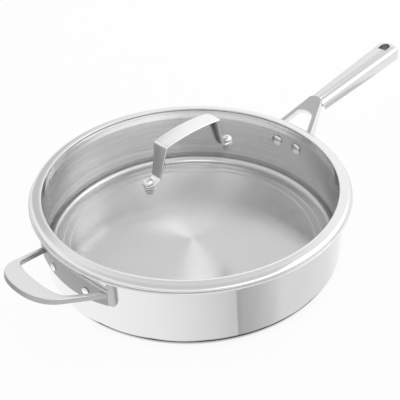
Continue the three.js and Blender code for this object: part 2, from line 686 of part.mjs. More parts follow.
function panGroup() {
  const forkRivets = [FORK_RIVET_SPACING, PAN_HEIGHT - FORK_RIVET_DROP, 0];
  const helperRivets = [HELPER_RIVET_SPACING, PAN_HEIGHT - HELPER_RIVET_DROP, Math.PI];
  const group = new THREE.Group();
  const vessel = cut(panBody(), ...rivetHoles(...forkRivets), ...rivetHoles(...helperRivets));
  group.add(piece("pan_body", vessel, brushedSteel()));
  group.add(piece("handle_fork", handleFork(), castSteel()));
  group.add(piece("handle_grip", handleGrip(), polishedSteel()));
  addWallRivets(group, "handle", ...forkRivets);
  group.add(piece("helper_handle", helperHandle(), castSteel()));
  addWallRivets(group, "helper", ...helperRivets);
  return group;
}

function lidStack(side, label) {
  const stack = new THREE.Group();
  stack.position.copy(stackOrigin(side));
  stack.rotation.y = side * stackTilt();
  const softWasher = (level) => lidWasher(WASHER_SOFT_WIDTH, WASHER_SOFT_THICK, level);
  const steelWasher = lidWasher(WASHER_STEEL_WIDTH, WASHER_STEEL_THICK, backingWasherLevel);
  stack.add(piece(`lid_rivet_${label}`, lidRivet(), polishedSteel()));
  stack.add(piece(`upper_seal_${label}`, softWasher(upperWasherLevel), silicone()));
  stack.add(piece(`lower_seal_${label}`, softWasher(lowerWasherLevel), silicone()));
  stack.add(piece(`backing_washer_${label}`, steelWasher, polishedSteel()));
  return stack;
}

function lidGroup() {
  const group = new THREE.Group();
  group.add(piece("lid_glass", lidGlass(), clearGlass()));
  group.add(piece("lid_rim", lidRim(), polishedSteel()));
  group.add(piece("rim_bedding", rimBedding(), silicone()));
  group.add(piece("lid_handle", lidHandle(), polishedSteel()));
  group.add(lidStack(-1, "near"), lidStack(1, "far"));
  return group;
}

const sautePan = new THREE.Group();
sautePan.name = "saute_pan";
sautePan.add(panGroup(), lidGroup());

export default sautePan;
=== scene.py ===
"""Saute pan with a domed glass lid: surfaces, finishes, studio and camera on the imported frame."""

import json
import math

import bmesh
import bpy
from mathutils import Matrix, Vector

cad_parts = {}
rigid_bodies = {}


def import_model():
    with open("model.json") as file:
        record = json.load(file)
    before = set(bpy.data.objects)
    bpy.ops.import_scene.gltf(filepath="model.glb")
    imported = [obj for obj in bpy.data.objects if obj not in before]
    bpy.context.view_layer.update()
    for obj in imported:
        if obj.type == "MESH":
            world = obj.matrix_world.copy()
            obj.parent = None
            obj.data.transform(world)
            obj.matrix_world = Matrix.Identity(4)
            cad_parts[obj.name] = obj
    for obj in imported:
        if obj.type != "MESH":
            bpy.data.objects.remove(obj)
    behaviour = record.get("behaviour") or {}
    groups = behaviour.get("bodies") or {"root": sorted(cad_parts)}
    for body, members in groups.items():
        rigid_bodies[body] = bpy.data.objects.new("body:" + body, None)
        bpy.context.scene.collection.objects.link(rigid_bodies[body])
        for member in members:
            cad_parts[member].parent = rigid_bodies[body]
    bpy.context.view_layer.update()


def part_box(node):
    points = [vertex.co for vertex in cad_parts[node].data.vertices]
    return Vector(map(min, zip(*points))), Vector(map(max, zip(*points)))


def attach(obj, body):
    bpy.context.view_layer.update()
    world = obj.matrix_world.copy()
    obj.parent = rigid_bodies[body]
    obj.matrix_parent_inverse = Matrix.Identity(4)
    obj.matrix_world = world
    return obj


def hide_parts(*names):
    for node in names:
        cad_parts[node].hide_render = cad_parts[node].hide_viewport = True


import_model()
pan_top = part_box("pan_body")[1]

bl_info = {
    "name": "Saute pan with glass lid",
    "version": (1, 0, 0),
    "blender": (4, 5, 0),
    "location": "3D View > Sidebar > Saute pan",
    "description": "Builds a steel saute pan with a domed glass lid on its packed frame",
    "category": "Object",
}

MM = 0.001
QUARTER = math.pi / 2
SHARP = math.radians(34)  # faces that meet at more than this keep a crisp edge
ON_AXIS = 1e-9  # a smaller radius than this is a point on the axis
NEARLY = 0.99  # share of a half width that a full rounding takes

# Sides of turned pieces, steps of roundings and steps of longer curves.
ROUND, SMALL_ROUND, FLOOR_SIDES = 256, 48, 64
ARC, EDGE_ARC, GLASS_ARC, SKIRT_ARC = 8, 4, 3, 5
PLATE_STEPS, EAR_STEPS, GRIP_STEPS, DOME_STEPS = 24, 6, 6, 40
LOOP_OUTER_STEPS, LOOP_INNER_STEPS = 24, 20
BAR_STEPS, SHOULDER_STEPS, ANKLE_STEPS, FOOT_STEPS = 14, 6, 8, 9

# How squarely a face has to look one way to take the finish of that side.
FORK_TOP, LOOP_TOP, LEG_FACE, STRAP_INSIDE, HOLE_TOP = 0.75, 0.8, 0.9, 0.5, 0.5

# Small gaps and roundings, and roundings as shares of the size that they belong to.
BORE_PLAY, BEDDING_GAP = 0.3 * MM, 0.1 * MM
SKIRT_EDGE, GLASS_EDGE, TANG_EDGE = 0.3 * MM, 0.4 * MM, 1.0 * MM
WASHER_EDGE, RIM_ROUND, BEAD_BACK, BEAD_EDGE, BEAD_FOOT = 0.3, 0.95, 0.4, 1.4, 0.2
FOOT_UNDER = 0.85  # width of a foot's underside as a share of its width


def size(label, description, millimetres):
    """A length that a user may change, given in millimetres."""
    return bpy.props.FloatProperty(
        name=label, description=description, default=millimetres * MM, min=0.0, precision=5,
        unit="LENGTH")


def slope(label, description, degrees):
    """An angle that a user may change, given in degrees."""
    return bpy.props.FloatProperty(
        name=label, description=description, default=math.radians(degrees), subtype="ANGLE",
        unit="ROTATION")


def share(label, description, value, most=1.0):
    """A plain number that a user may change."""
    return bpy.props.FloatProperty(
        name=label, description=description, default=value, min=0.0, max=most, subtype="FACTOR")


def tint(label, description, colour):
    """A colour that a user may change."""
    return bpy.props.FloatVectorProperty(
        name=label, description=description, default=colour, size=3, min=0.0, max=1.0,
        subtype="COLOR")


def spot(label, description, place):
    """A place in the room that a user may change, in metres."""
    return bpy.props.FloatVectorProperty(
        name=label, description=description, default=place, size=3, subtype="TRANSLATION",
        unit="LENGTH")


def settings(kind, label, description):
    """One group of settings inside the whole kit."""
    return bpy.props.PointerProperty(type=kind, name=label, description=description)


class PanSizes(bpy.types.PropertyGroup):
    """Sizes of the pan's pressed body"""
    inner_radius: size("Inner radius", "From the pan's axis to the inside of its wall", 150)
    height: size("Height", "From the table to the top of the lip", pan_top.z / MM)
    wall: size("Wall", "Thickness of the clad sheet", 2.6)
    corner: size("Corner", "Inside radius between floor and wall", 7.5)
    step: size("Floor step", "Rise of each ring that the base leaves in the floor", 0.45)
    step_width: size("Floor step width", "Width of each ring's flank", 1.0)
    inner_step: size("Inner ring", "Radius of the inner ring in the floor", 128)
    outer_step: size("Outer ring", "Radius of the outer ring in the floor", 135.5)
    lip_curve: size("Lip curve", "Radius over which the wall flares into the lip", 8)
    lip_flat: size("Lip flat", "Flat part of the lip outside its curve", 2)
    lip_edge: size("Lip edge", "Rounding of the lip's cut edge", 0.6)
    lip_thick: size("Lip thickness", "Thickness of the lip at its cut edge", 1.4)
    seat_gap: size("Seat gap", "Space between two pieces that are fixed to each other", 0.3)


class RivetSizes(bpy.types.PropertyGroup):
    """Sizes of the rivets and washers"""
    shank: size("Wall rivet shank", "Diameter of a wall rivet's shank", 6)
    head: size("Wall rivet head", "Diameter of the head inside the pan", 13.4)
    dome: size("Wall rivet dome", "Height of the head inside the pan", 2.8)
    tail: size("Wall rivet tail", "Diameter of the formed end outside", 8)
    tail_dome: size("Wall rivet tail dome", "Height of the formed end outside", 1.6)
    head_gap: size("Head gap", "Space under a rivet's head", 0.4)
    lid_shank: size("Lid rivet shank", "Diameter of a lid rivet's shank", 5)
    lid_head: size("Lid rivet head", "Diameter of a lid rivet's head", 10.8)
    lid_dome: size("Lid rivet dome", "Height of a lid rivet's head", 4.8)
    lid_tail: size("Lid rivet tail", "Diameter of the formed end under the glass", 8)
    lid_tail_dome: size("Lid rivet tail dome", "Height of the formed end under the glass", 1.5)
    soft_thick: size("Seal thickness", "Thickness of a soft washer", 1.2)
    soft_width: size("Seal width", "Diameter of a soft washer", 11.6)
    under_width: size("Lower seal width", "Diameter of the soft washer under the glass", 8.4)
    steel_thick: size("Backing washer thickness", "Thickness of a steel washer", 1)
    steel_width: size("Backing washer width", "Diameter of a steel washer", 8.4)


class HandleSizes(bpy.types.PropertyGroup):
    """Sizes of the long handle: fork, saddle plate and grip"""
    fork_slope: slope("Fork slope", "Rise of the fork's top face", 31.8)
    fork_drop: size("Fork drop", "From the lip's top to the fork's top face at the wall", 8.8)
    fork_length: size("Fork length", "Along the fork's top face from the wall to its tip", 56)
    tip_bulge: size("Tip bulge", "How far the round tip stands out", 4.5)
    tip_width: size("Tip width", "Width of the fork where its tip starts", 17)
    root_width: size("Root width", "Width over both legs at the wall", 51.4)
    arm_width: size("Leg width", "Width of one leg on its top face", 5.3)
    opening: size("Opening", "Length of the gap between the legs", 34.5)
    arch: size("Arch", "Rise of the gap's round end", 5.6)
    fork_thick: size("Fork thickness", "Thickness square to the top face", 7)
    flare: size("Leg flare", "How far the legs spread below their top face", 5)
    fork_edge: size("Fork edge", "Rounding of the fork's edges", 0.8)
    rivet_drop: size("Rivet drop", "From the lip's top down to the rivets", 21.3)
    rivet_spacing: size("Rivet spacing", "Between the two rivets", 27.8)
    saddle_width: size("Saddle width", "Width of the plate on the wall", 68)
    ear_width: size("Ear width", "Width of the plate's tall ends", 15)
    tang_length: size("Tang length", "Length of the tongue inside the grip", 24)
    tang_thick: size("Tang thickness", "Thickness of the tongue inside the grip", 6)
    grip_slope: slope("Grip slope", "Rise of the grip", 7.8)
    grip_length: size("Grip length", "Length of the grip", 144)
    front_width: size("Grip front width", "Width of the grip at the fork", 22)
    end_width: size("Grip end width", "Width of the grip at its end", 29)
    front_height: size("Grip front height", "Height of the grip at the fork", 17.8)
    end_height: size("Grip end height", "Height of the grip at its end", 20.6)
    grip_edge: size("Grip edge", "Rounding along the grip", 6.6)
    crown: size("Grip crown", "Rise of the grip's top across its width", 1.6)
    grip_wall: size("Grip wall", "Sheet thickness of the hollow grip", 1.6)
    end_round: size("Grip end round", "Rounding of the grip's end", 7)
    solid_end: size("Solid end", "Closed length round the hanging hole", 30)
    hole_length: size("Hole length", "Length of the hanging hole", 13.6)
    hole_width: size("Hole width", "Width of the hanging hole", 11.2)
    hole_inset: size("Hole inset", "From the grip's end to the hanging hole", 5.6)


class SaddleSizes(bpy.types.PropertyGroup):
    """Sizes that both saddle plates share"""
    thick: size("Thickness", "Thickness of the plate", 3)
    above: size("Above rivets", "From the rivets up to the plate's top", 15)
    below: size("Below rivets", "From the rivets down to the plate's foot", 11)
    arch: size("Arch", "How far the long handle's plate sinks towards its ears", 3)
    edge: size("Edge", "Rounding of the plate's lower edge", 2)
    top_edge: size("Top edge", "Rounding of the plate's upper edge", 0.6)
    ear_raise: size("Ear raise", "How far the ears stand above the plate", 5)
    ear_round: size("Ear round", "Rounding of the ears' outer corners", 3)


class HelperSizes(bpy.types.PropertyGroup):
    """Sizes of the helper handle"""
    rise: slope("Slope", "Rise of the loop", 18)
    drop: size("Drop", "From the lip's top down to the loop's top face at the wall", 15.9)
    length: size("Length", "Along the loop from the wall to its end", 57.4)
    bar: size("Bar", "Width of the loop's end bar", 20.7)
    root_width: size("Root width", "Width over both arms at the wall", 92)
    end_width: size("End width", "Width over both arms at the end", 62)
    arm_root: size("Arm at root", "Width of an arm at the wall", 4.2)
    arm_end: size("Arm at end", "Width of an arm at the bar", 6)
    outer_corner: size("Outer corner", "Start of the outer corner before the end", 24)
    inner_corner: size("Inner corner", "Start of the inner corner before the bar", 11)
    thick: size("Thickness", "Thickness of the loop", 5.4)
    edge: size("Edge", "Rounding of the loop's edges", 0.9)
    rivet_drop: size("Rivet drop", "From the lip's top down to the rivets", 25)
    rivet_spacing: size("Rivet spacing", "Between the two rivets", 46.8)
    saddle_width: size("Saddle width", "Width of the plate on the wall", 109.5)
    ear_width: size("Ear width", "Width of the plate's tall ends", 6.5)
    arch: size("Arch", "How far the plate's top sinks towards its ends", 7)
    lift: size("Lift", "How far the plate's foot rises towards its ends", 4.5)


class LidSizes(bpy.types.PropertyGroup):
    """Sizes of the glass and its rim"""
    side_play: size("Side play", "Between the skirt and the pan's wall", 2)
    skirt: size("Skirt", "How far the skirt hangs into the pan", 8)
    sheet: size("Rim sheet", "Sheet thickness of the rim", 0.7)
    setback: size("Setback", "From the lip's edge back to the rim's edge", 1.4)
    band: size("Band", "Width of the rim's band seen from above", 12)
    rim_edge: size("Rim edge", "Height of the rim's lower outer edge", 1.2)
    glass: size("Glass", "Thickness of the glass", 3.2)
    grip: size("Glass grip", "How far the rim reaches over the glass", 0.4)
    flat: size("Band flat", "Flat part of the band before its outer curve", 5)
    slope: size("Band slope", "How far the band rises towards the glass", 0.5)
    bead: size("Bead", "Width of the band's level inner edge", 2.8)
    brim: size("Brim", "Flat glass inside the band", 2)
    rise: size("Rise", "Rise of the dome", 23.5)
    bedding: size("Bedding", "Thickness of the soft ring under the glass", 0.4)
    rivet_spacing: size("Rivet spacing", "Between the lid handle's rivets", 106)


class StrapSizes(bpy.types.PropertyGroup):
    """Sizes of the lid handle"""
    thick: size("Thickness", "Thickness of a foot", 2.6)
    body: size("Body", "Thickness of the bar and the legs", 3.8)
    edge: size("Edge", "Rounding of the strap's edges", 0.9)
    side: size("Side", "Height of the strap's upright sides", 1.4)
    under: share("Under share", "Width of the flat underside as a share of the width", 0.74)
    # Painted shade: the underside's middle, this wide, takes a dark copy of the strap's steel.
    raw: share("Raw share", "Width of the underside's dull middle as a share of its flat", 0.56)
    crown: size("Crown", "How far the bar's top falls to its edges", 0.4)
    leg_crown: size("Leg crown", "How far a leg's face bulges at its upper end", 1.0)
    rise: size("Rise", "From the dome's top to the bar's top", 39.6)
    arch: size("Arch", "Rise of the bar between its shoulders", 2.8)
    bar: size("Bar", "Length of the bar", 68)
    middle_width: size("Middle width", "Width of the bar at its middle", 18.8)
    shoulder_width: size("Shoulder width", "Width of the bar at its shoulders", 18)
    ankle_width: size("Ankle width", "Width of a leg at its lower end", 12)
    ankle_spacing: size("Ankle spacing", "Between the lower ends of the legs", 86)
    foot: size("Foot", "Width of a foot", 11.2)
    bend: size("Bend", "Length of a bend", 4)


class Finishes(bpy.types.PropertyGroup):
    """Colours of the finishes"""
    turned: tint("Turned steel", "Cooking floor of the pan", (0.61, 0.61, 0.612))
    brushed: tint("Brushed steel", "Inside of the pan's wall", (0.69, 0.69, 0.693))
    outside: tint("Outside steel", "Outside and lip of the pan", (0.82, 0.82, 0.822))
    # Painted shade: the helper's plate is a dark copy of its steel, for the shadow under the loop.
    cast: tint("Cast steel", "Plate of the helper handle", (0.34, 0.34, 0.343))
    # Painted shade: a darker copy of the steel for the helper's sides and the hanging hole's walls.
    loop: tint("Loop steel", "Helper handle's sides and hanging hole", (0.52, 0.52, 0.523))
    ground: tint("Ground steel", "Top of the helper handle", (0.80, 0.80, 0.803))
    fork: tint("Fork steel", "Sides of the long handle's fork", (0.90, 0.90, 0.903))
    facet: tint("Facet steel", "Top of the long handle's fork", (0.60, 0.60, 0.603))
    # Painted shade: a darker copy of the strap's steel on the legs' outer faces.
    leg: tint("Leg steel", "Outer faces of the lid handle's legs", (0.47, 0.47, 0.472))
    satin: tint("Satin steel", "Grip", (0.80, 0.80, 0.802))
    strap: tint("Bright steel", "Lid handle", (0.92, 0.92, 0.922))
    # Painted shade: a dark copy of the strap's steel under the lid handle.
    raw: tint("Raw steel", "Inside of the lid handle", (0.20, 0.20, 0.202))
    rim: tint("Rim steel", "Band of the lid", (0.85, 0.85, 0.852))
    # Painted light: a brighter copy of the rim's steel for the skirt, which hangs in the pan's
    # shade.
    skirt: tint("Skirt steel", "Skirt of the lid", (0.93, 0.93, 0.932))
    # Painted light: the wall rivets take a brighter copy of the polished steel.
    rivet: tint("Rivet steel", "Wall rivets", (0.93, 0.93, 0.932))
    polished: tint("Polished steel", "Lid rivets and backing washers", (0.84, 0.84, 0.84))
    seal: tint("Silicone", "Seals and bedding", (0.93, 0.93, 0.925))
    glass: tint("Glass", "Lid", (0.992, 0.994, 0.993))


class StudioSettings(bpy.types.PropertyGroup):
    """Floor, light and camera"""
    floor: tint("Floor", "Colour of the floor", (0.86, 0.86, 0.865))
    fill: share("Fill", "Strength of the even light from all round", 0.75, 4.0)
    camera_place: spot("Camera", "Where the camera stands", (-0.430264, -0.465548, 0.507067))
    camera_aim: spot("Aim", "Point that the camera looks at", (0.008914, -0.004, 0.049))
    camera_roll: slope("Roll", "Turn of the camera about its own axis", -1.95)
    lens: bpy.props.FloatProperty(
        name="Lens", description="Focal length on a 36 mm sensor", default=69.365, min=1.0,
        unit="CAMERA")


class SautePan(bpy.types.PropertyGroup):
    """All settings of the saute pan"""
    pan: settings(PanSizes, "Pan", "Pan body")
    rivets: settings(RivetSizes, "Rivets", "Rivets and washers")
    handle: settings(HandleSizes, "Long handle", "Fork and grip")
    saddle: settings(SaddleSizes, "Saddles", "Saddle plates")
    helper: settings(HelperSizes, "Helper handle", "Helper handle")
    lid: settings(LidSizes, "Lid", "Glass and rim")
    strap: settings(StrapSizes, "Lid handle", "Lid handle")
    finishes: settings(Finishes, "Finishes", "Colours")
    studio: settings(StudioSettings, "Studio", "Floor, light, camera")


def lerp(start, end, part):
    """The value at a part of the way from start to end."""
    return start + (end - start) * part


def clamped(value):
    """The value held between nought and one."""
    return min(1.0, max(0.0, value))


def quarter_turns(steps):
    """Even steps of angle from nought to a right angle."""
    return [QUARTER * k / steps for k in range(steps + 1)]


def rounded(corners, steps=ARC, closed=False):
    """Points along a row of (x, y, radius) corners, each corner rounded by its radius."""
    points = []
    count = len(corners)
    for i, (x, y, radius) in enumerate(corners):
        here = Vector((x, y))
        if radius <= 0 or (not closed and i in (0, count - 1)):
            points.append(here)
            continue
        before = (Vector(corners[i - 1][:2]) - here).normalized()
        after = (Vector(corners[(i + 1) % count][:2]) - here).normalized()
        half = before.angle(after) / 2
        reach = radius / math.tan(half)
        centre = here + (before + after).normalized() * (radius / math.sin(half))
        start = here + before * reach - centre
        end = here + after * reach - centre
        turn = math.atan2(start.x * end.y - start.y * end.x, start.dot(end))
        for k in range(steps + 1):
            points.append(centre + Matrix.Rotation(turn * k / steps, 2) @ start)
    return points


def bent(start, corner, end, steps):
    """Points of a curve that leaves start for corner and arrives at end from it."""
    parts = [k / steps for k in range(steps + 1)]
    return [start * (1 - t) ** 2 + corner * (2 * t * (1 - t)) + end * t ** 2 for t in parts]


def oval_quarter(u, v, rise, half):
    """Points of a quarter oval from (u, v + half) round to (u + rise, v)."""
    turns = quarter_turns(ARC)
    return [Vector((u + rise * math.sin(a), v + half * math.cos(a))) for a in turns]


def mirrored(points):
    """The points on the other side of the middle line, in reverse order."""
    return [Vector((p.x, -p.y)) for p in reversed(points)]


def looped(outer, inner):
    """A closed two-legged outline from one half of its outer and inner lines."""
    return outer + mirrored(outer)[1:] + mirrored(inner) + inner[1:]


def raised(loop, heights):
    """The same flat loop at several heights."""
    return [[(p.x, p.y, height) for p in loop] for height in heights]


def turned(profile, sides=ROUND, closed=False):
    """Vertices and faces of (radius, height) points turned round Z."""
    rows, vertices, faces = [], [], []
    for radius, height in profile:
        if radius < ON_AXIS:
            rows.append([len(vertices)] * sides)
            vertices.append((0.0, 0.0, height))
            continue
        rows.append(list(range(len(vertices), len(vertices) + sides)))
        for i in range(sides):
            turn = 2 * math.pi * i / sides
            vertices.append((radius * math.cos(turn), radius * math.sin(turn), height))
    pairs = list(zip(rows, rows[1:])) + ([(rows[-1], rows[0])] if closed else [])
    for low, high in pairs:
        for i in range(sides):
            j = (i + 1) % sides
            faces.append(tuple(dict.fromkeys((low[i], low[j], high[j], high[i]))))
    return vertices, faces


def lofted(loops):
    """Vertices and faces of a closed body through loops with the same number of points."""
    count = len(loops[0])
    last = (len(loops) - 1) * count
    vertices = [tuple(point) for loop in loops for point in loop]
    faces = [tuple(reversed(range(count))), tuple(range(last, last + count))]
    for row in range(len(loops) - 1):
        for i in range(count):
            a = row * count + i
            b = row * count + (i + 1) % count
            faces.append((a, b, b + count, a + count))
    return vertices, faces


def shaped(name, vertices, faces, place=Matrix.Identity(4)):
    """A new object from vertices and faces, moved to its place, with its faces turned outward."""
    mesh = bpy.data.meshes.new(name)
    mesh.from_pydata([place @ Vector(v) for v in vertices], [], faces)
    sheet = bmesh.new()
    sheet.from_mesh(mesh)
    bmesh.ops.recalc_face_normals(sheet, faces=sheet.faces)
    sheet.to_mesh(mesh)
    sheet.free()
    piece = bpy.data.objects.new(name, mesh)
    bpy.context.scene.collection.objects.link(piece)
    return piece


def worked(piece, tool, operation):
    """Joins a tool to a piece or cuts it out, and removes the tool."""
    step = piece.modifiers.new(operation.lower(), "BOOLEAN")
    step.operation = operation
    step.solver = "EXACT"
    step.object = tool
    graph = bpy.context.evaluated_depsgraph_get()
    result = bpy.data.meshes.new_from_object(piece.evaluated_get(graph))
    if not result.polygons:
        raise RuntimeError(f"{piece.name} is empty after {operation.lower()}")
    piece.modifiers.clear()
    piece.data = result
    bpy.data.objects.remove(tool)


def settled(piece, body, slot, node, finishes=(), pick=None):
    """Shades a piece, gives each face the finish that pick counts out, and ties it to the frame."""
    mesh = piece.data
    mesh.materials.clear()
    for finish in finishes or (slot,):
        mesh.materials.append(finish_for(finish))
    if pick:
        for face in mesh.polygons:
            face.material_index = pick(face)
    mesh.shade_smooth()
    mesh.set_sharp_from_angle(angle=SHARP)
    even = piece.modifiers.new("even_shading", "WEIGHTED_NORMAL")
    even.keep_sharp = True
    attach(piece, body)
    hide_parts(node)


def wall_seat(pan):
    """Radius at which a saddle plate sits on the wall."""
    return pan.inner_radius + pan.wall + pan.seat_gap


def lip_radius(pan):
    """Radius of the lip's cut edge."""
    return pan.inner_radius + pan.lip_curve + pan.lip_flat


def pan_profile(pan):
    """The pan's section from the floor's middle over the lip to the middle of its underside."""
    outside = pan.inner_radius + pan.wall
    lip = lip_radius(pan)
    under_lip = pan.height - pan.wall
    ring = pan.wall + pan.step
    ledge = pan.wall + 2 * pan.step
    return rounded([
        (0, pan.wall, 0),
        (pan.inner_step, pan.wall, pan.step_width),
        (pan.inner_step + pan.step_width, ring, pan.step_width),
        (pan.outer_step, ring, pan.step_width),
        (pan.outer_step + pan.step_width, ledge, pan.step_width),
        (pan.inner_radius, ledge, pan.corner),
        (pan.inner_radius, pan.height, pan.lip_curve),
        (lip, pan.height, pan.lip_edge),
        (lip, pan.height - pan.lip_thick, pan.lip_edge),
        (outside, under_lip, pan.lip_curve - pan.wall),
        (outside, 0, pan.corner + pan.wall),
        (0, 0, 0),
    ], 2 * ARC)


def pan_outside(pan):
    """A tool in the shape of the pan's outside, grown by the seat gap, that trims the handles."""
    lip = lip_radius(pan) + pan.seat_gap
    under_lip = pan.height - pan.wall - pan.seat_gap
    section = rounded([
        (0, -pan.height, 0),
        (wall_seat(pan), -pan.height, 0),
        (wall_seat(pan), under_lip, pan.lip_curve - pan.wall - pan.seat_gap),
        (lip, under_lip, 0),
        (lip, 2 * pan.height, 0),
        (0, 2 * pan.height, 0),
    ])
    return shaped("pan_outside", *turned(section))


def saddle_plate(name, pan, saddle, level, width, ear_width, arch, lift=0.0):
    """A curved plate on the wall, arched between taller ears, that still reaches into it."""
    face = wall_seat(pan) + saddle.thick
    half_turn = math.asin(width / 2 / face)
    ear_turn = math.asin((width / 2 - ear_width) / face)
    round_turn = saddle.ear_round / face
    ear_start = ear_turn + round_turn / 3
    ear_end = half_turn - round_turn
    band = [lerp(-ear_turn, ear_turn, k / PLATE_STEPS) for k in range(PLATE_STEPS + 1)]
    ear = [lerp(ear_end, half_turn, math.sin(a)) for a in quarter_turns(EAR_STEPS)]
    ear.insert(0, ear_start)
    loops = []
    for turn in [-t for t in reversed(ear)] + band + ear:
        away = abs(turn)
        high = level + saddle.above
        low = level - saddle.below + lift * (away / half_turn) ** 2
        if away >= ear_start:
            near = max(0.0, away - ear_end) / round_turn
            rounding = saddle.ear_round * (1 - math.sqrt(max(0.0, 1 - near ** 2)))
            high += saddle.ear_raise - rounding
            low += rounding
        else:
            high -= arch * (away / ear_turn) ** 2
        section = rounded([
            (pan.inner_radius, low, 0),
            (face, low, saddle.edge),
            (face, high, saddle.top_edge),
            (pan.inner_radius, high, 0),
        ], EDGE_ARC)
        loops.append([(r * math.cos(turn), r * math.sin(turn), z) for r, z in section])
    return shaped(name, *lofted(loops))


def slope_frame(pan, level, rise):
    """The frame of a sloping handle: along it, across it and square to its top face."""
    return Matrix.Translation((wall_seat(pan), 0, level)) @ Matrix.Rotation(-rise, 4, "Y")


def fork_frame(pan, handle):
    """The frame of the fork's top face."""
    return slope_frame(pan, pan.height - handle.fork_drop, handle.fork_slope)


def fork_outline(pan, saddle, handle, flare, inset):
    """The fork seen square to its top face, drawn in by an inset."""
    tip_start = handle.fork_length - handle.tip_bulge
    arch_start = handle.opening - handle.arch
    lean = (handle.root_width - handle.tip_width) / 2 / tip_start
    root = -2 * saddle.thick - pan.wall

    def outer_at(u):
        return handle.tip_width / 2 + lean * (tip_start - u)

    def inner_at(u):
        return outer_at(u) - handle.arm_width

    outer = [Vector((root, outer_at(root) + flare - inset))]
    outer += oval_quarter(tip_start, 0, handle.tip_bulge - inset, handle.tip_width / 2 - inset)
    inner = oval_quarter(arch_start, 0, handle.arch + inset, inner_at(arch_start) + inset)[::-1]
    inner.append(Vector((root, inner_at(root) + inset)))
    return looped(outer, inner)


def grip_frame(pan, handle):
    """The grip's frame starts where its top line meets the fork's top face."""
    reach = handle.fork_length - handle.tip_bulge / 2
    start = fork_frame(pan, handle) @ Vector((reach, 0, 0))
    return Matrix.Translation(start) @ Matrix.Rotation(-handle.grip_slope, 4, "Y")


def grip_section(handle, along, width, height, inset):
    """The grip's rounded section with a crowned top."""
    half = width / 2 - inset
    radius = max(handle.grip_edge - inset, handle.grip_wall / 2)
    shoulder = -inset - handle.crown - radius
    foot = inset - height + radius
    flat = half - radius

    def corner(y, z, start):
        turns = [start + a for a in quarter_turns(ARC)]
        return [(y + radius * math.cos(a), z + radius * math.sin(a)) for a in turns]

    points = corner(-flat, foot, 2 * QUARTER) + corner(flat, foot, 3 * QUARTER)
    points += corner(flat, shoulder, 0)
    for y in [lerp(flat, -flat, k / ARC) for k in range(1, ARC)]:
        points.append((y, -inset - handle.crown * (y / flat) ** 2))
    points += corner(-flat, shoulder, QUARTER)
    return [Vector((along, y, z)) for y, z in points]


def grip_size(handle, along):
    """Width and height of the grip at a distance along it."""
    part = along / handle.grip_length
    width = lerp(handle.front_width, handle.end_width, part)
    return width, lerp(handle.front_height, handle.end_height, part)


def hang_hole(pan, handle):
    """The tool for the hanging hole: a half round at the end, small corners towards the fork."""
    end = handle.grip_length - handle.hole_inset
    start = end - handle.hole_length
    half = handle.hole_width / 2
    small, full = half / 3, half * NEARLY
    corners = [(start, -half, small), (end, -half, full), (end, half, full), (start, half, small)]
    loops = raised(rounded(corners, ARC, True), (-2 * handle.end_height, handle.end_height))
    return shaped("hang_hole", *lofted(loops), grip_frame(pan, handle))


def fork_tip_space(pan, handle):
    """The tool that shapes the grip's mouth round the fork's tip."""
    tip_start = handle.fork_length - handle.tip_bulge
    half = handle.tip_width / 2 + pan.seat_gap
    outer = [Vector((-handle.fork_length, handle.end_width))]
    outer.append(Vector((tip_start, handle.end_width)))
    outer += oval_quarter(tip_start, 0, handle.tip_bulge + pan.seat_gap, half)
    loop = outer + mirrored(outer)[1:]
    loops = raised(loop, (-3 * handle.end_height, handle.end_height))
    return shaped("fork_tip_space", *lofted(loops), fork_frame(pan, handle))


def helper_outline(pan, helper, inset):
    """The helper loop seen square to its top face, drawn in by an inset."""
    inside = helper.length - helper.bar + inset
    end = helper.length - inset

    def outer_at(u):
        return lerp(helper.root_width, helper.end_width, u / helper.length) / 2 - inset

    def inner_at(u):
        arm = lerp(helper.arm_root, helper.arm_end, u / (helper.length - helper.bar))
        return outer_at(u) - arm + 2 * inset

    def on_outer(u):
        return Vector((u, outer_at(u)))

    def on_inner(u):
        return Vector((u, inner_at(u)))

    root = -((helper.root_width / 2) ** 2) / wall_seat(pan)
    turn_out = helper.length - helper.outer_corner
    turn_in = inside - helper.inner_corner
    outer = [on_outer(root)]
    outer += bent(on_outer(turn_out), on_outer(end), Vector((end, 0)), LOOP_OUTER_STEPS)
    inner = bent(Vector((inside, 0)), on_inner(inside), on_inner(turn_in), LOOP_INNER_STEPS)
    inner.append(on_inner(root))
    return looped(outer, inner)


def rounded_edge(edge, thick):
    """Pairs of (inset, height) that round both edges of a plate below its top face."""
    turns = quarter_turns(EDGE_ARC)
    top = [(edge * (1 - math.sin(a)), -edge * (1 - math.cos(a))) for a in turns]
    return top + [(inset, -thick - height) for inset, height in reversed(top)]


def wall_frame(pan, sideways, level, facing):
    """A frame on the inside of the wall whose own Z points straight out of the pan."""
    turn = facing + math.asin(sideways / (pan.inner_radius + pan.wall))
    place = Matrix.Rotation(turn, 4, "Z") @ Matrix.Translation((pan.inner_radius, 0, level))
    return place @ Matrix.Rotation(QUARTER, 4, "Y")


def rivet_profile(shank, low_end, high_end):
    """A rivet's section from its low to its high end, each given by width, dome and level."""
    low_width, low_dome, low = low_end
    high_width, high_dome, high = high_end
    bottom = [(p.y, low - p.x) for p in oval_quarter(0, 0, low_dome, low_width / 2)]
    top = [(p.y, high + p.x) for p in oval_quarter(0, 0, high_dome, high_width / 2)]
    return bottom[::-1] + [(shank / 2, low), (shank / 2, high)] + top


def lid_levels(pan, lid):
    """Radii and levels of the lid that follow from its sizes."""
    rim = lip_radius(pan) - lid.setback
    inner = rim - lid.band
    under = pan.height + lid.sheet + lid.bedding
    edge = inner - lid.brim
    return {
        "rim": rim,
        "skirt": pan.inner_radius - lid.side_play,
        "band": inner,
        "glass": inner + lid.grip,
        "under": under,
        "top": under + lid.glass,
        "edge": edge,
        "dome": (edge ** 2 + lid.rise ** 2) / (2 * lid.rise),
    }


def dome_rise(lid, levels, radius):
    """Height of the dome above its edge at a radius."""
    return math.sqrt(levels["dome"] ** 2 - radius ** 2) - levels["dome"] + lid.rise


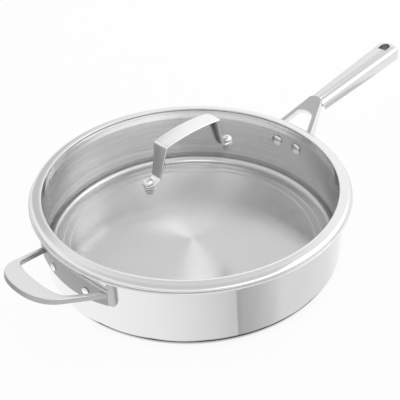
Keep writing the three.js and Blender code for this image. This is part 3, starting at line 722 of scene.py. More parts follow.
def glass_profile(lid, levels):
    """Underside, ground edge and top of the glass."""
    radii = [levels["edge"] * k / DOME_STEPS for k in range(DOME_STEPS + 1)]
    rows = [(r, dome_rise(lid, levels, r)) for r in radii]
    edge = rounded([
        (levels["edge"], levels["under"], 0),
        (levels["glass"], levels["under"], GLASS_EDGE),
        (levels["glass"], levels["top"], GLASS_EDGE),
        (levels["edge"], levels["top"], 0),
    ], GLASS_ARC)
    under = [Vector((r, levels["under"] + rise)) for r, rise in rows]
    top = [Vector((r, levels["top"] + rise)) for r, rise in reversed(rows)]
    return under + edge[1:-1] + top


def rim_profile(pan, lid, levels):
    """Skirt, flange on the lip, rolled edge and the band over the glass."""
    sheet, skirt, rim = lid.sheet, levels["skirt"], levels["rim"]
    band, glass_top = levels["band"], levels["top"]
    band_top = glass_top + sheet
    bead_top = band_top + lid.slope
    roll = band + lid.flat + pan.seat_gap
    roll_level = pan.height + lid.rim_edge
    outer = oval_quarter(roll_level, roll, band_top - roll_level, rim - roll)
    inner = oval_quarter(roll_level, roll, glass_top - roll_level, rim - roll - sheet)
    skirt_foot = pan.height - lid.skirt
    bottom = rounded([
        (skirt - sheet, pan.height + sheet, 0),
        (skirt - sheet, skirt_foot, SKIRT_EDGE),
        (skirt, skirt_foot, SKIRT_EDGE),
        (skirt, pan.height, SKIRT_EDGE),
        (rim, pan.height, lid.rim_edge * RIM_ROUND),
        (rim, roll_level, 0),
    ], SKIRT_ARC)
    top = rounded([
        (roll, band_top, 0),
        (band + lid.bead, bead_top, sheet * BEAD_BACK),
        (band, bead_top, sheet * BEAD_EDGE),
        (band, glass_top, sheet * BEAD_FOOT),
        (roll, glass_top, 0),
    ], EDGE_ARC)
    flange = [Vector((rim - sheet - lid.rim_edge / 2, pan.height + sheet))]
    outside = [Vector((p.y, p.x)) for p in outer]
    inside = [Vector((p.y, p.x)) for p in reversed(inner)]
    return bottom + outside[1:] + top[1:-1] + inside + flange


def bedding_profile(pan, lid, levels):
    """The soft ring under the glass and behind its edge."""
    inner = levels["skirt"] - lid.sheet
    outer = levels["band"] + lid.flat
    edge = levels["glass"] + BEDDING_GAP
    low, under = pan.height + lid.sheet, levels["under"]
    high = levels["top"] - BEDDING_GAP
    return [(inner, low), (outer, low), (outer, high), (edge, high), (edge, under), (inner, under)]


def stack_levels(lid, strap, rivets, gap):
    """Levels of the pieces stacked at a foot, above and below the glass's top face."""
    foot = gap + rivets.soft_thick + gap
    lower_seal = -lid.glass - gap - rivets.soft_thick
    backing = lower_seal - gap - rivets.steel_thick
    return {
        "upper_seal": gap,
        "foot": foot,
        "head": foot + strap.thick + gap,
        "lower_seal": lower_seal,
        "backing_washer": backing,
        "tail": backing - gap,
    }


def stack_frame(lid, levels, side):
    """The frame of the stack at one foot, square to the glass."""
    radius = lid.rivet_spacing / 2
    tilt = math.asin(radius / levels["dome"])
    origin = Vector((side * radius, 0, levels["top"] + dome_rise(lid, levels, radius)))
    return Matrix.Translation(origin) @ Matrix.Rotation(side * tilt, 4, "Y")


def washer_profile(rivets, width, thick, level):
    """The section of a washer with softened edges."""
    inner = rivets.lid_shank / 2 + BORE_PLAY
    edge = thick * WASHER_EDGE
    return rounded([
        (inner, level, edge / 2),
        (width / 2, level, edge),
        (width / 2, level + thick, edge),
        (inner, level + thick, edge / 2),
    ], EDGE_ARC, True)


def strap_line(lid, strap, levels, stack):
    """The strap's middle line from the bar's centre over the shoulder to the foot's end."""
    bar = strap.bar / 2
    bar_top = levels["top"] + lid.rise + strap.rise - strap.thick / 2
    foot_place = stack_frame(lid, levels, 1)

    def on_foot(along):
        point = foot_place @ Vector((along, 0, stack["foot"] + strap.thick / 2))
        return Vector((point.x, point.z))

    shoulder = Vector((bar, bar_top - strap.arch))
    ankle = on_foot((strap.ankle_spacing - lid.rivet_spacing) / 2)
    foot_end = on_foot(strap.foot / 2)
    down = (ankle - shoulder).normalized()
    along_foot = (foot_end - ankle).normalized()
    unbent = 1 - strap.bend / 2 / bar
    parts = [k / BAR_STEPS * unbent for k in range(BAR_STEPS + 1)]
    line = [Vector((part * bar, bar_top - strap.arch * part ** 2)) for part in parts]
    line += bent(line.pop(), shoulder, shoulder + down * (strap.bend / 2), SHOULDER_STEPS)
    line += bent(ankle - down * strap.bend, ankle, ankle + along_foot * strap.bend, ANKLE_STEPS)
    for turn in quarter_turns(FOOT_STEPS)[:-1]:
        line.append(on_foot(strap.foot / 2 * math.sin(turn)))
    return line


def strap_half_width(lid, strap, distance):
    """Half the strap's width at a distance from the lid's centre."""
    bar, ankle, foot = strap.bar / 2, strap.ankle_spacing / 2, lid.rivet_spacing / 2
    if distance <= bar:
        return lerp(strap.middle_width, strap.shoulder_width, (distance / bar) ** 2) / 2
    if distance <= ankle:
        part = (distance - bar) / (ankle - bar)
        return lerp(strap.shoulder_width, strap.ankle_width, part) / 2
    if distance <= foot:
        return lerp(strap.ankle_width, strap.foot, (distance - ankle) / (foot - ankle)) / 2
    return math.sqrt(max((strap.foot / 2) ** 2 - (distance - foot) ** 2, strap.edge ** 2))


def strap_section(strap, point, ahead, half, fullness, leg_part):
    """The strap's section at a point of its line: crowned on top and narrower underneath."""
    up = Vector((-ahead.y, ahead.x)).normalized()
    top = strap.thick / 2
    side = top - min(strap.side, strap.thick / 2)
    deep = lerp(top, strap.body - top, fullness)
    flat = half * lerp(FOOT_UNDER, strap.under, fullness)
    raw = flat * strap.raw
    edge = min(strap.edge, half / 3)
    corners = [
        (half, side, edge / 2), (half, top, edge), (half / 2, top, 0), (0, top, 0),
        (-half / 2, top, 0), (-half, top, edge), (-half, side, edge / 2),
        (-flat, -deep, edge / 2), (-raw, -deep, 0), (raw, -deep, 0), (flat, -deep, edge / 2),
    ]
    crown = lerp(strap.crown, strap.leg_crown, leg_part)
    section = []
    for y, w in rounded(corners, EDGE_ARC, True):
        if w > side:
            w += strap.leg_crown * leg_part - crown * (y / half) ** 2
        section.append(Vector((point.x + w * up.x, y, point.y + w * up.y)))
    return section


def joined(tree, source, target):
    """Links a socket to a target, or sets the target to a plain value."""
    if isinstance(source, bpy.types.NodeSocket):
        tree.links.new(source, target)
    else:
        target.default_value = source


def fed(tree, node, inputs):
    """Joins sockets or plain values to the named inputs of a node."""
    for name, source in inputs.items():
        joined(tree, source, node.inputs[name])


def added(tree, kind, inputs, **choices):
    """The outputs of a new node with its choices made and its inputs fed."""
    node = tree.nodes.new(kind)
    for choice, value in choices.items():
        setattr(node, choice, value)
    fed(tree, node, inputs)
    return node.outputs


def reckoned(tree, operation, first, second=0.0):
    """The output of a sum on sockets or numbers."""
    return added(tree, "ShaderNodeMath", {0: first, 1: second}, operation=operation)[0]


def times(tree, first, second):
    """The product of two sockets or numbers."""
    return reckoned(tree, "MULTIPLY", first, second)


def weighed(tree, first, first_part, second, second_part):
    """The sum of two sockets, each taken by its own part."""
    return reckoned(tree, "ADD", times(tree, first, first_part), times(tree, second, second_part))


def split(tree, output):
    """The X, Y and Z of a kind of coordinates: places on a piece, or directions in the room."""
    vector = added(tree, "ShaderNodeTexCoord", {})[output]
    return list(added(tree, "ShaderNodeSeparateXYZ", {0: vector}))


def gathered(tree, x, y, z):
    """One vector from three sockets."""
    return added(tree, "ShaderNodeCombineXYZ", {0: x, 1: y, 2: z})[0]


def mottle(tree, vector, scale, detail):
    """A soft uneven pattern along a vector."""
    inputs = {"Vector": vector, "Scale": scale, "Detail": detail}
    return added(tree, "ShaderNodeTexNoise", inputs)["Fac"]


PATTERN_LOW, PATTERN_HIGH = 0.3, 0.7  # a mottle rarely leaves this range


def between(tree, pattern, low, high):
    """The pattern spread between two values."""
    inputs = {"Value": pattern, "To Min": low, "To Max": high}
    inputs |= {"From Min": PATTERN_LOW, "From Max": PATTERN_HIGH}
    return added(tree, "ShaderNodeMapRange", inputs)["Result"]


def shaded(tree, pattern, colour, depth):
    """A colour that the pattern darkens a little."""
    node = tree.nodes.new("ShaderNodeValToRGB")
    low, high = node.color_ramp.elements
    low.position, high.position = PATTERN_LOW, PATTERN_HIGH
    low.color = (*[c * (1 - depth) for c in colour], 1.0)
    high.color = (*colour, 1.0)
    joined(tree, pattern, node.inputs["Fac"])
    return node.outputs["Color"]


def stepped(tree, value, rows):
    """A value that runs through rows of (place, level) in straight steps."""
    node = tree.nodes.new("ShaderNodeFloatCurve")
    curve = node.mapping.curves[0]
    node.mapping.use_clip = False
    node.mapping.extend = "HORIZONTAL"
    for k, row in enumerate(rows):
        if k < len(curve.points):
            curve.points[k].location = row
        else:
            curve.points.new(*row)
    for point in curve.points:
        point.handle_type = "VECTOR"
    node.mapping.update()
    joined(tree, value, node.inputs["Value"])
    return node.outputs[0]


def scratched(tree, shader, pattern, strength, depth):
    """Fine relief on a shader from a pattern."""
    inputs = {"Height": pattern, "Strength": strength, "Distance": depth}
    joined(tree, added(tree, "ShaderNodeBump", inputs)["Normal"], shader.inputs["Normal"])


def fresh_finish(name, colour, roughness, metallic):
    """A new material with its constant values on the shader's own sockets."""
    finish = bpy.data.materials.new(name)
    finish.use_nodes = True
    tree = finish.node_tree
    shader = tree.nodes["Principled BSDF"]
    inputs = {"Base Color": (*colour, 1.0), "Roughness": roughness, "Metallic": metallic}
    fed(tree, shader, inputs)
    return finish, tree, shader


# Patterns are (scale per metre, detail).
LINE_RELIEF = 0.02 * MM
RING_LINES, RING_DRAW, RING_DEPTH = (1800.0, 4.0), 0.0008, 0.01
STREAK_LINES = (420.0, 3.0)
TURNED_CLOUDS, TURNED_RINGS_PART, TURNED_SHADE = (22.0, 3.0), 0.65, 0.01
ACROSS_RINGS = 0.25  # turn of the gloss against the rings, in whole turns
SHADE_BAND_SCALE = 10.0  # a painted shade band's place is a height in tenths of a metre
# Painted shade: the inner wall is darkened low down, just above its corner with the floor.
WALL_PAINTED_SHADE = [(0.0, 1.0), (0.08, 1.0), (0.09, 0.64), (0.14, 0.68), (0.16, 1.0)]
FLOOR_LEAN, FLOOR_LEAN_REACH = math.radians(2.5), 90 * MM
BRUSHED_DETAIL, BRUSHED_CLOUDS, BRUSHED_PART, BRUSHED_SHADE = 3.0, (30.0, 3.0), 0.6, 0.03
SEAL_CLOUDS, SEAL_SHADE, SEAL_DEPTH, SEAL_RELIEF = (260.0, 3.0), 0.12, 0.15, 0.1 * MM
GLASS_INDEX, GLASS_SMEAR = 1.12, (16.0, 4.0)


def turned_finish(name, colour, smooth, rough, spread, painted_shade_bands=(), streaks=0.0, lean=0.0):
    """Steel turned on a lathe: fine rings round the axis and a gloss that fans out across them."""
    finish, tree, shader = fresh_finish(name, colour, rough, 1.0)
    x, y, z = split(tree, "Object")
    radius = reckoned(tree, "SQRT", weighed(tree, x, x, y, y))
    turn = times(tree, reckoned(tree, "ARCTAN2", y, x), RING_DRAW)
    round_axis = gathered(tree, radius, z, turn)
    rings = mottle(tree, round_axis, *RING_LINES)
    clouds = mottle(tree, gathered(tree, x, y, z), *TURNED_CLOUDS)
    mixed = weighed(tree, rings, TURNED_RINGS_PART, clouds, 1 - TURNED_RINGS_PART)
    if streaks:
        steel = shaded(tree, mottle(tree, round_axis, *STREAK_LINES), colour, streaks)
    else:
        steel = shaded(tree, mixed, colour, TURNED_SHADE)
    # Painted shade: the colour is scaled down by height in the given bands.
    if painted_shade_bands:
        inputs = {0: steel, "Scale": stepped(tree, times(tree, z, SHADE_BAND_SCALE), painted_shade_bands)}
        steel = added(tree, "ShaderNodeVectorMath", inputs, operation="SCALE")[0]
    tangent = added(tree, "ShaderNodeTangent", {}, direction_type="RADIAL", axis="Z")[0]
    fed(tree, shader, {
        "Base Color": steel,
        "Roughness": between(tree, mixed, smooth, rough),
        "Anisotropic": spread,
        "Anisotropic Rotation": ACROSS_RINGS,
        "Tangent": tangent,
    })
    if lean:
        inside = reckoned(tree, "MINIMUM", radius, FLOOR_LEAN_REACH)
        eased = times(tree, times(tree, inside, inside), 0.5 / FLOOR_LEAN_REACH)
        flank = times(tree, reckoned(tree, "SUBTRACT", eased, inside), math.tan(lean))
        scratched(tree, shader, flank, 1.0, 1.0)
    else:
        scratched(tree, shader, rings, RING_DEPTH, LINE_RELIEF)
    return finish


def brushed_finish(name, colour, smooth, rough, depth, scale=1600.0, stretch=(1, 1, 1)):
    """Steel brushed or blasted: a fine grain that is drawn out along some axes."""
    finish, tree, shader = fresh_finish(name, colour, rough, 1.0)
    place = split(tree, "Object")
    drawn_out = [times(tree, axis, part) for axis, part in zip(place, stretch)]
    grain = mottle(tree, gathered(tree, *drawn_out), scale, BRUSHED_DETAIL)
    clouds = mottle(tree, gathered(tree, *place), *BRUSHED_CLOUDS)
    mixed = weighed(tree, grain, BRUSHED_PART, clouds, 1 - BRUSHED_PART)
    steel = shaded(tree, mixed, colour, BRUSHED_SHADE)
    gloss = between(tree, mixed, smooth, rough)
    fed(tree, shader, {"Base Color": steel, "Roughness": gloss})
    scratched(tree, shader, grain, depth, LINE_RELIEF)
    return finish


def seal_finish(name, colour, smooth, rough):
    """Pale silicone with a faint mottle."""
    finish, tree, shader = fresh_finish(name, colour, rough, 0.0)
    clouds = mottle(tree, gathered(tree, *split(tree, "Object")), *SEAL_CLOUDS)
    pale = shaded(tree, clouds, colour, SEAL_SHADE)
    gloss = between(tree, clouds, smooth, rough)
    fed(tree, shader, {"Base Color": pale, "Roughness": gloss})
    scratched(tree, shader, clouds, SEAL_DEPTH, SEAL_RELIEF)
    return finish


def glass_finish(name, colour, smooth, rough):
    """Clear tempered glass with a trace of smear in its gloss."""
    finish, tree, shader = fresh_finish(name, colour, rough, 0.0)
    smear = mottle(tree, gathered(tree, *split(tree, "Object")), *GLASS_SMEAR)
    gloss = between(tree, smear, smooth, rough)
    fed(tree, shader, {"Transmission Weight": 1.0, "IOR": GLASS_INDEX, "Roughness": gloss})
    return finish


# For each finish: its maker, its colour, its least and largest roughness and what its maker adds.
FINISHES = {
    "pan_steel": (turned_finish, "turned", 0.19, 0.21, 0.60, (), 0.0, FLOOR_LEAN),
    "pan_inside": (turned_finish, "brushed", 0.22, 0.28, 0.55, WALL_PAINTED_SHADE, 0.16),
    "pan_outside": (turned_finish, "outside", 0.09, 0.13, 0.30),
    "rim_steel": (turned_finish, "rim", 0.10, 0.16, 0.40),
    "lid_skirt": (turned_finish, "skirt", 0.08, 0.12, 0.30),
    "cast_steel": (brushed_finish, "cast", 0.30, 0.40, 0.02),
    "ground_steel": (brushed_finish, "ground", 0.26, 0.34, 0.01),
    "fork_steel": (brushed_finish, "fork", 0.24, 0.32, 0.02),
    "loop_side": (brushed_finish, "loop", 0.28, 0.36, 0.01),
    "fork_facet": (brushed_finish, "facet", 0.26, 0.34, 0.01),
    "lid_leg": (brushed_finish, "leg", 0.22, 0.28, 0.004, 1400.0, (1, 1, 0.05)),
    "satin_steel": (brushed_finish, "satin", 0.22, 0.26, 0.004, 900.0, (0.04, 1, 1)),
    "lid_strap": (brushed_finish, "strap", 0.18, 0.24, 0.004, 900.0, (0.3, 1, 0.1)),
    "raw_steel": (brushed_finish, "raw", 0.26, 0.34, 0.01),
    "wall_rivet": (brushed_finish, "rivet", 0.10, 0.16, 0.004),
    "polished_steel": (brushed_finish, "polished", 0.08, 0.16, 0.01),
    "silicone": (seal_finish, "seal", 0.45, 0.62),
    "lid_glass": (glass_finish, "glass", 0.0, 0.03),
}


def finish_for(slot):
    """The finish of a slot or of some of its faces, made once."""
    name = "finish_" + slot
    known = bpy.data.materials.get(name)
    if known:
        return known
    maker, colour, *values = FINISHES[slot]
    return maker(name, getattr(bpy.context.scene.saute_pan.finishes, colour), *values)


class SAUTEPAN_OT_pan_body(bpy.types.Operator):
    """Presses the pan's body: floor, wall and flared lip in one sheet"""
    bl_idname = "sautepan.pan_body"
    bl_label = "Pan body"

    def execute(self, context):
        pan = context.scene.saute_pan.pan

        def pick(face):
            reach = math.hypot(face.center.x, face.center.y)
            if reach >= pan.inner_radius or face.center.z <= pan.wall / 2:
                return 2
            return int(reach > pan.inner_radius - pan.corner)

        body = shaped("pan_shell", *turned(pan_profile(pan)))
        finishes = ("pan_steel", "pan_inside", "pan_outside")
        settled(body, "pan", "pan_steel", "pan_body", finishes, pick)
        return {"FINISHED"}


class SAUTEPAN_OT_long_handle(bpy.types.Operator):
    """Casts the fork with its saddle plate and rolls the hollow grip"""
    bl_idname = "sautepan.long_handle"
    bl_label = "Long handle"

    def execute(self, context):
        kit = context.scene.saute_pan
        self.add_fork(kit.pan, kit.saddle, kit.handle)
        self.add_grip(kit.pan, kit.handle)
        return {"FINISHED"}

    def add_fork(self, pan, saddle, handle):
        """The two legs, their saddle plate and the tongue in the grip, trimmed to the wall."""
        loops = []
        for inset, height in rounded_edge(handle.fork_edge, handle.fork_thick):
            flare = handle.flare * clamped(-height / (handle.fork_thick / 2))
            loops += raised(fork_outline(pan, saddle, handle, flare, inset), [height])
        fork = shaped("fork", *lofted(loops), fork_frame(pan, handle))
        level = pan.height - handle.rivet_drop
        ends = (handle.saddle_width, handle.ear_width, saddle.arch)
        worked(fork, saddle_plate("fork_plate", pan, saddle, level, *ends), "UNION")
        worked(fork, self.tang(pan, handle), "UNION")
        worked(fork, pan_outside(pan), "DIFFERENCE")
        finishes = ("fork_steel", "fork_facet")
        settled(fork, "pan", "cast_steel", "handle_fork", finishes,
                lambda face: int(face.normal.z > FORK_TOP))

    def tang(self, pan, handle):
        """The tongue that enters the grip."""
        room = 2 * (handle.grip_wall + pan.seat_gap) + handle.grip_edge
        half = (handle.front_width - room) / 2
        top = -handle.grip_wall - handle.crown - pan.seat_gap
        low, edge = top - handle.tang_thick, TANG_EDGE
        corners = [(-half, low, edge), (half, low, edge), (half, top, edge), (-half, top, edge)]
        section = rounded(corners, EDGE_ARC, True)
        ends = (-handle.tip_bulge, handle.tang_length - handle.tip_bulge)
        loops = [[(u, y, z) for y, z in section] for u in ends]
        return shaped("tang", *lofted(loops), grip_frame(pan, handle))

    def add_grip(self, pan, handle):
        """The hollow grip with its hanging hole and its mouth cut to the fork's tip."""
        place = grip_frame(pan, handle)
        round_start = handle.grip_length - handle.end_round
        stations = [lerp(-handle.front_height, round_start, k / GRIP_STEPS)
                    for k in range(GRIP_STEPS + 1)]
        loops = [grip_section(handle, s, *grip_size(handle, s), 0) for s in stations]
        for turn in quarter_turns(ARC)[1:]:
            along = round_start + handle.end_round * math.sin(turn)
            inset = handle.end_round / 2 * (1 - math.cos(turn))
            width, height = grip_size(handle, along)
            loops.append(grip_section(handle, along, width - 2 * inset, height, inset / 2))
        grip = shaped("grip", *lofted(loops), place)
        ends = (-2 * handle.front_height, handle.grip_length - handle.solid_end)
        loops = [grip_section(handle, s, *grip_size(handle, s), handle.grip_wall) for s in ends]
        worked(grip, shaped("grip_hollow", *lofted(loops), place), "DIFFERENCE")
        worked(grip, hang_hole(pan, handle), "DIFFERENCE")
        worked(grip, fork_tip_space(pan, handle), "DIFFERENCE")
        hole_end = handle.grip_length - handle.hole_inset
        back = place.inverted()

        # Painted shade: the walls of the hanging hole take the darker side finish.
        def pick(face):
            along, across, _ = back @ face.center
            beside = abs(across) <= handle.hole_width / 2
            inside = beside and -handle.hole_length <= along - hole_end <= 0
            return int(inside and abs((back.to_3x3() @ face.normal).z) < HOLE_TOP)

        finishes = ("satin_steel", "loop_side")
        settled(grip, "pan", "satin_steel", "handle_grip", finishes, pick)


class SAUTEPAN_OT_helper_handle(bpy.types.Operator):
    """Casts the helper handle: a flat loop on a wide saddle plate"""
    bl_idname = "sautepan.helper_handle"
    bl_label = "Helper handle"

    def execute(self, context):
        kit = context.scene.saute_pan
        pan, helper = kit.pan, kit.helper
        loops = []
        for inset, height in rounded_edge(helper.edge, helper.thick):
            loops += raised(helper_outline(pan, helper, inset), [height])
        place = slope_frame(pan, pan.height - helper.drop, helper.rise)
        loop = shaped("helper_loop", *lofted(loops), place)
        level = pan.height - helper.rivet_drop
        ends = (helper.saddle_width, helper.ear_width, helper.arch, helper.lift)
        worked(loop, saddle_plate("helper_plate", pan, kit.saddle, level, *ends), "UNION")
        worked(loop, pan_outside(pan), "DIFFERENCE")
        loop.data.transform(Matrix.Rotation(math.pi, 4, "Z"))
        ear = helper.saddle_width / 2 - helper.ear_width

        # The plate and the sides take darker copies of the top's steel: painted shade.
        def pick(face):
            if face.normal.z > LOOP_TOP:
                return 1
            on_loop = face.center.xy.length > lip_radius(pan)
            return 2 if on_loop or abs(face.center.y) > ear else 0

        finishes = ("cast_steel", "ground_steel", "loop_side")
        settled(loop, "pan", "cast_steel", "helper_handle", finishes, pick)
        return {"FINISHED"}


class SAUTEPAN_OT_wall_rivets(bpy.types.Operator):
    """Sets the four rivets that hold both handles to the wall"""
    bl_idname = "sautepan.wall_rivets"
    bl_label = "Wall rivets"

    def execute(self, context):
        kit = context.scene.saute_pan
        pan, rivets = kit.pan, kit.rivets
        outside = wall_seat(pan) + kit.saddle.thick + rivets.head_gap - pan.inner_radius
        head = (rivets.head, rivets.dome, -rivets.head_gap)
        tail = (rivets.tail, rivets.tail_dome, outside)
        shape = turned(rivet_profile(rivets.shank, head, tail), SMALL_ROUND)
        for name, handle, facing in (("handle", kit.handle, 0.0), ("helper", kit.helper, math.pi)):
            level = pan.height - handle.rivet_drop
            for label, side in (("left", 1), ("right", -1)):
                place = wall_frame(pan, side * handle.rivet_spacing / 2, level, facing)
                rivet = shaped(f"{name}_wall_rivet_{label}", *shape, place)
                node = f"{name}_rivet_{label}"
                # Painted light: a brighter copy of the polished steel on the wall rivets.
                settled(rivet, "pan", "polished_steel", node, ["wall_rivet"])
        return {"FINISHED"}


class SAUTEPAN_OT_lid_glass(bpy.types.Operator):
    """Bends the domed glass of the lid"""
    bl_idname = "sautepan.lid_glass"
    bl_label = "Lid glass"

    def execute(self, context):
        kit = context.scene.saute_pan
        levels = lid_levels(kit.pan, kit.lid)
        glass = shaped("glass_dome", *turned(glass_profile(kit.lid, levels)))
        settled(glass, "lid", "lid_glass", "lid_glass")
        return {"FINISHED"}


class SAUTEPAN_OT_lid_rim(bpy.types.Operator):
    """Rolls the steel rim of the lid and lays its soft bedding"""
    bl_idname = "sautepan.lid_rim"
    bl_label = "Lid rim"

    def execute(self, context):
        kit = context.scene.saute_pan
        pan, lid = kit.pan, kit.lid
        levels = lid_levels(pan, lid)
        rim = shaped("rim_band", *turned(rim_profile(pan, lid, levels), ROUND, True))
        # The skirt below the lip takes a brighter copy of the rim's steel: painted light.
        settled(rim, "lid", "rim_steel", "lid_rim", ("rim_steel", "lid_skirt"),
                lambda face: int(face.center.z < pan.height))
        section = bedding_profile(pan, lid, levels)
        bedding = shaped("rim_seal", *turned(section, ROUND, True))
        settled(bedding, "lid", "silicone", "rim_bedding")
        return {"FINISHED"}


class SAUTEPAN_OT_lid_handle(bpy.types.Operator):
    """Bends the lid handle's strap from foot to foot"""
    bl_idname = "sautepan.lid_handle"
    bl_label = "Lid handle"

    def execute(self, context):
        kit = context.scene.saute_pan
        lid, strap = kit.lid, kit.strap
        levels = lid_levels(kit.pan, lid)
        stack = stack_levels(lid, strap, kit.rivets, kit.pan.seat_gap)
        right = strap_line(lid, strap, levels, stack)
        line = [Vector((-p.x, p.y)) for p in reversed(right[1:])] + right
        ankle = min(p.y for p in right if p.x <= strap.ankle_spacing / 2)
        thickening, turning = 3 * strap.body, strap.bend / 4
        loops = []
        for i, point in enumerate(line):
            ahead = line[min(i + 1, len(line) - 1)] - line[max(i - 1, 0)]
            fullness = clamped((point.y - ankle) / thickening)
            past_bar = (abs(point.x) - strap.bar / 2 + turning) / turning
            half = strap_half_width(lid, strap, abs(point.x))
            leg_part = clamped(past_bar) * fullness
            loops.append(strap_section(strap, point, ahead, half, fullness, leg_part))

        def pick(face):
            inward = (Vector((0, face.center.y, ankle)) - face.center).normalized()
            # Painted shade: the middle of the underside takes a dark copy of the strap's steel.
            if abs(face.center.y) < strap.edge and face.normal.dot(inward) > STRAP_INSIDE:
                return 1
            # Painted shade: the legs' outer faces take a darker copy of the strap's steel.
            return 2 if abs(face.normal.x) > LEG_FACE and face.center.z > ankle else 0

        handle = shaped("strap_handle", *lofted(loops))
        finishes = ("lid_strap", "raw_steel", "lid_leg")
        settled(handle, "lid", "satin_steel", "lid_handle", finishes, pick)
        return {"FINISHED"}


class SAUTEPAN_OT_lid_fasteners(bpy.types.Operator):
    """Sets the rivet, seals and backing washer at each foot of the lid handle"""
    bl_idname = "sautepan.lid_fasteners"
    bl_label = "Lid fasteners"

    def execute(self, context):
        kit = context.scene.saute_pan
        lid, rivets = kit.lid, kit.rivets
        levels = lid_levels(kit.pan, lid)
        stack = stack_levels(lid, kit.strap, rivets, kit.pan.seat_gap)
        tail = (rivets.lid_tail, rivets.lid_tail_dome, stack["tail"])
        head = (rivets.lid_head, rivets.lid_dome, stack["head"])
        shape = turned(rivet_profile(rivets.lid_shank, tail, head), SMALL_ROUND)
        rows = [("lid_rivet", "dome_rivet", "polished_steel", shape)]
        for node, name, slot, width, thick in (
                ("upper_seal", "top_washer", "silicone", rivets.soft_width, rivets.soft_thick),
                ("lower_seal", "under_washer", "silicone", rivets.under_width, rivets.soft_thick),
                ("backing_washer", "steel_washer", "polished_steel", rivets.steel_width,
                 rivets.steel_thick)):
            ring = washer_profile(rivets, width, thick, stack[node])
            rows.append((node, name, slot, turned(ring, SMALL_ROUND, True)))
        for label, side in (("near", -1), ("far", 1)):
            place = stack_frame(lid, levels, side)
            for node, name, slot, shape in rows:
                piece = shaped(f"{name}_{label}", *shape, place)
                settled(piece, "lid", slot, f"{node}_{label}")
        return {"FINISHED"}


WHITE = (1.0, 1.0, 1.0, 1.0)

# The floor: its level, its radii, its gloss and its white glow, which dims where the pan is near.
FLOOR_LEVEL, FLOOR_RADII, FLOOR_GLOSS = -0.6 * MM, (0.0, 0.6, 6.0), 0.35
FLOOR_CLOUDS, FLOOR_SHADE = (5.0, 2.0), 0.01
CORNER_REACH, GLOW_LEAST, GLOW_MOST, GLOW_PART = 3 * MM, 0.4, 1.04, 0.86

# The card is a painted reflection that glows and only mirrors see: painted shade under the
# pan's foot, then graded outward. Rows are the degrees from its middle, the tone near the pan
# and the tone far from it.
CARD_FACING = math.radians(227.2)
CARD_UNDER, CARD_UNDER_PAINTED_SHADE = (0.8, 0.996), 0.04  # shares of the foot's radius
CARD_REACH = (0.004, 0.075, 0.35)  # metres out from the foot
CARD_ROWS = [
    (-80, 1.05, 0.5), (-36, 1.05, 0.5), (-15.5, 0.98, 0.7), (3, 0.81, 0.7), (12.4, 0.68, 0.6),
    (14.4, 0.66, 0.6), (14.5, 0.43, 0.5), (16.5, 0.49, 0.5), (24, 0.60, 0.5), (31.8, 0.80, 0.5),
    (46.6, 0.83, 0.55), (63.3, 0.93, 0.6), (80, 1.02, 0.6),
]
# A dark patch beside the pan that also glows and only mirrors see: painted reflection.
SIDE_CARD = ((-0.60, 0.12), (-0.22, 0.12), (-0.22, 0.52), (-0.60, 0.52))
SIDE_CARD_TONE = 0.40

# The room in mirrors: headings as (X, Y) parts, and rows of (part or height, light).
BEHIND, BEHIND_ROWS = (0.94, 0.34), [(0.0, 0.0), (0.5, 1.0)]
FRONT_ROWS = [(0.0, 0.55), (0.15, 0.62), (0.45, 1.0), (0.72, 0.95), (0.88, 0.68), (1.0, 0.66)]
BACK_ROWS = [(0.0, 1.0), (0.4, 1.03), (0.68, 1.0), (0.84, 0.74), (1.0, 0.66)]
RIGHT, PANE_ROWS = (0.5, -0.866), [(0.25, 0.0), (0.6, 0.6)]
PANE_HEIGHTS = [(0.3, 0.0), (0.5, 1.0), (0.75, 1.0), (0.9, 0.0)]
LEFT, SHADE_ROWS = (-0.34, 0.94), [(0.40, 0.0), (0.62, 0.40)]
SHADE_HEIGHTS = [(0.15, 0.0), (0.30, 1.0), (0.62, 1.0), (0.75, 0.0)]
SHADE_DEPTHS = [(0.02, 0.0), (0.16, 1.0)]

# Pieces that some lamps light alone, and the pieces that their light passes.
LIT_ALONE = ("pan_shell", "handle_wall_rivet")
LID_TOP = (
    "glass_dome", "strap_handle", "dome_rivet", "top_washer", "under_washer", "steel_washer")
PASSED = {
    "lets_light_through": LID_TOP,
    "lets_far_light_through": LID_TOP + ("pan_shell", "rim_band", "rim_seal"),
}
LAMPS = [  # name, place, width, depth, power and what its light passes
    ("right_box", (0.87, -0.50, 1.10), 0.70, 0.70, 0.92, None),
    ("top_box", (0.0, 0.05, 1.5), 0.45, 0.45, 1.2, "lets_light_through"),
    ("low_back_box", (0.657, 0.875, 0.701), 0.12, 0.12, 0.042, "lets_light_through"),
    ("high_back_box", (0.608, 0.616, 0.970), 0.12, 0.12, 0.066, "lets_light_through"),
    ("far_box", (0.975, 1.048, 0.730), 0.40, 0.24, 0.27, "lets_far_light_through"),
]


def glowing(tree, kind, strength):
    """The output of a new white light shader."""
    return added(tree, kind, {"Color": WHITE, "Strength": strength})[0]


def mixed_shader(tree, part, first, second):
    """The output of two shaders mixed by a part."""
    return added(tree, "ShaderNodeMixShader", {0: part, 1: first, 2: second})[0]


def seen_part(tree):
    """One for rays that see the room: straight, mirrored or through glass."""
    path = added(tree, "ShaderNodeLightPath", {})
    mirrored_too = reckoned(tree, "MAXIMUM", path["Is Camera Ray"], path["Is Glossy Ray"])
    return reckoned(tree, "MAXIMUM", mirrored_too, path["Is Transmission Ray"])


def heading(turn):
    """A level direction at an angle from X."""
    return Vector((math.cos(turn), math.sin(turn), 0))


def collected(name, starts):
    """A new collection of the pieces whose names start with one of some words."""
    group = bpy.data.collections.new(name)
    for piece in bpy.data.objects:
        if piece.name.startswith(starts):
            group.objects.link(piece)
    return group


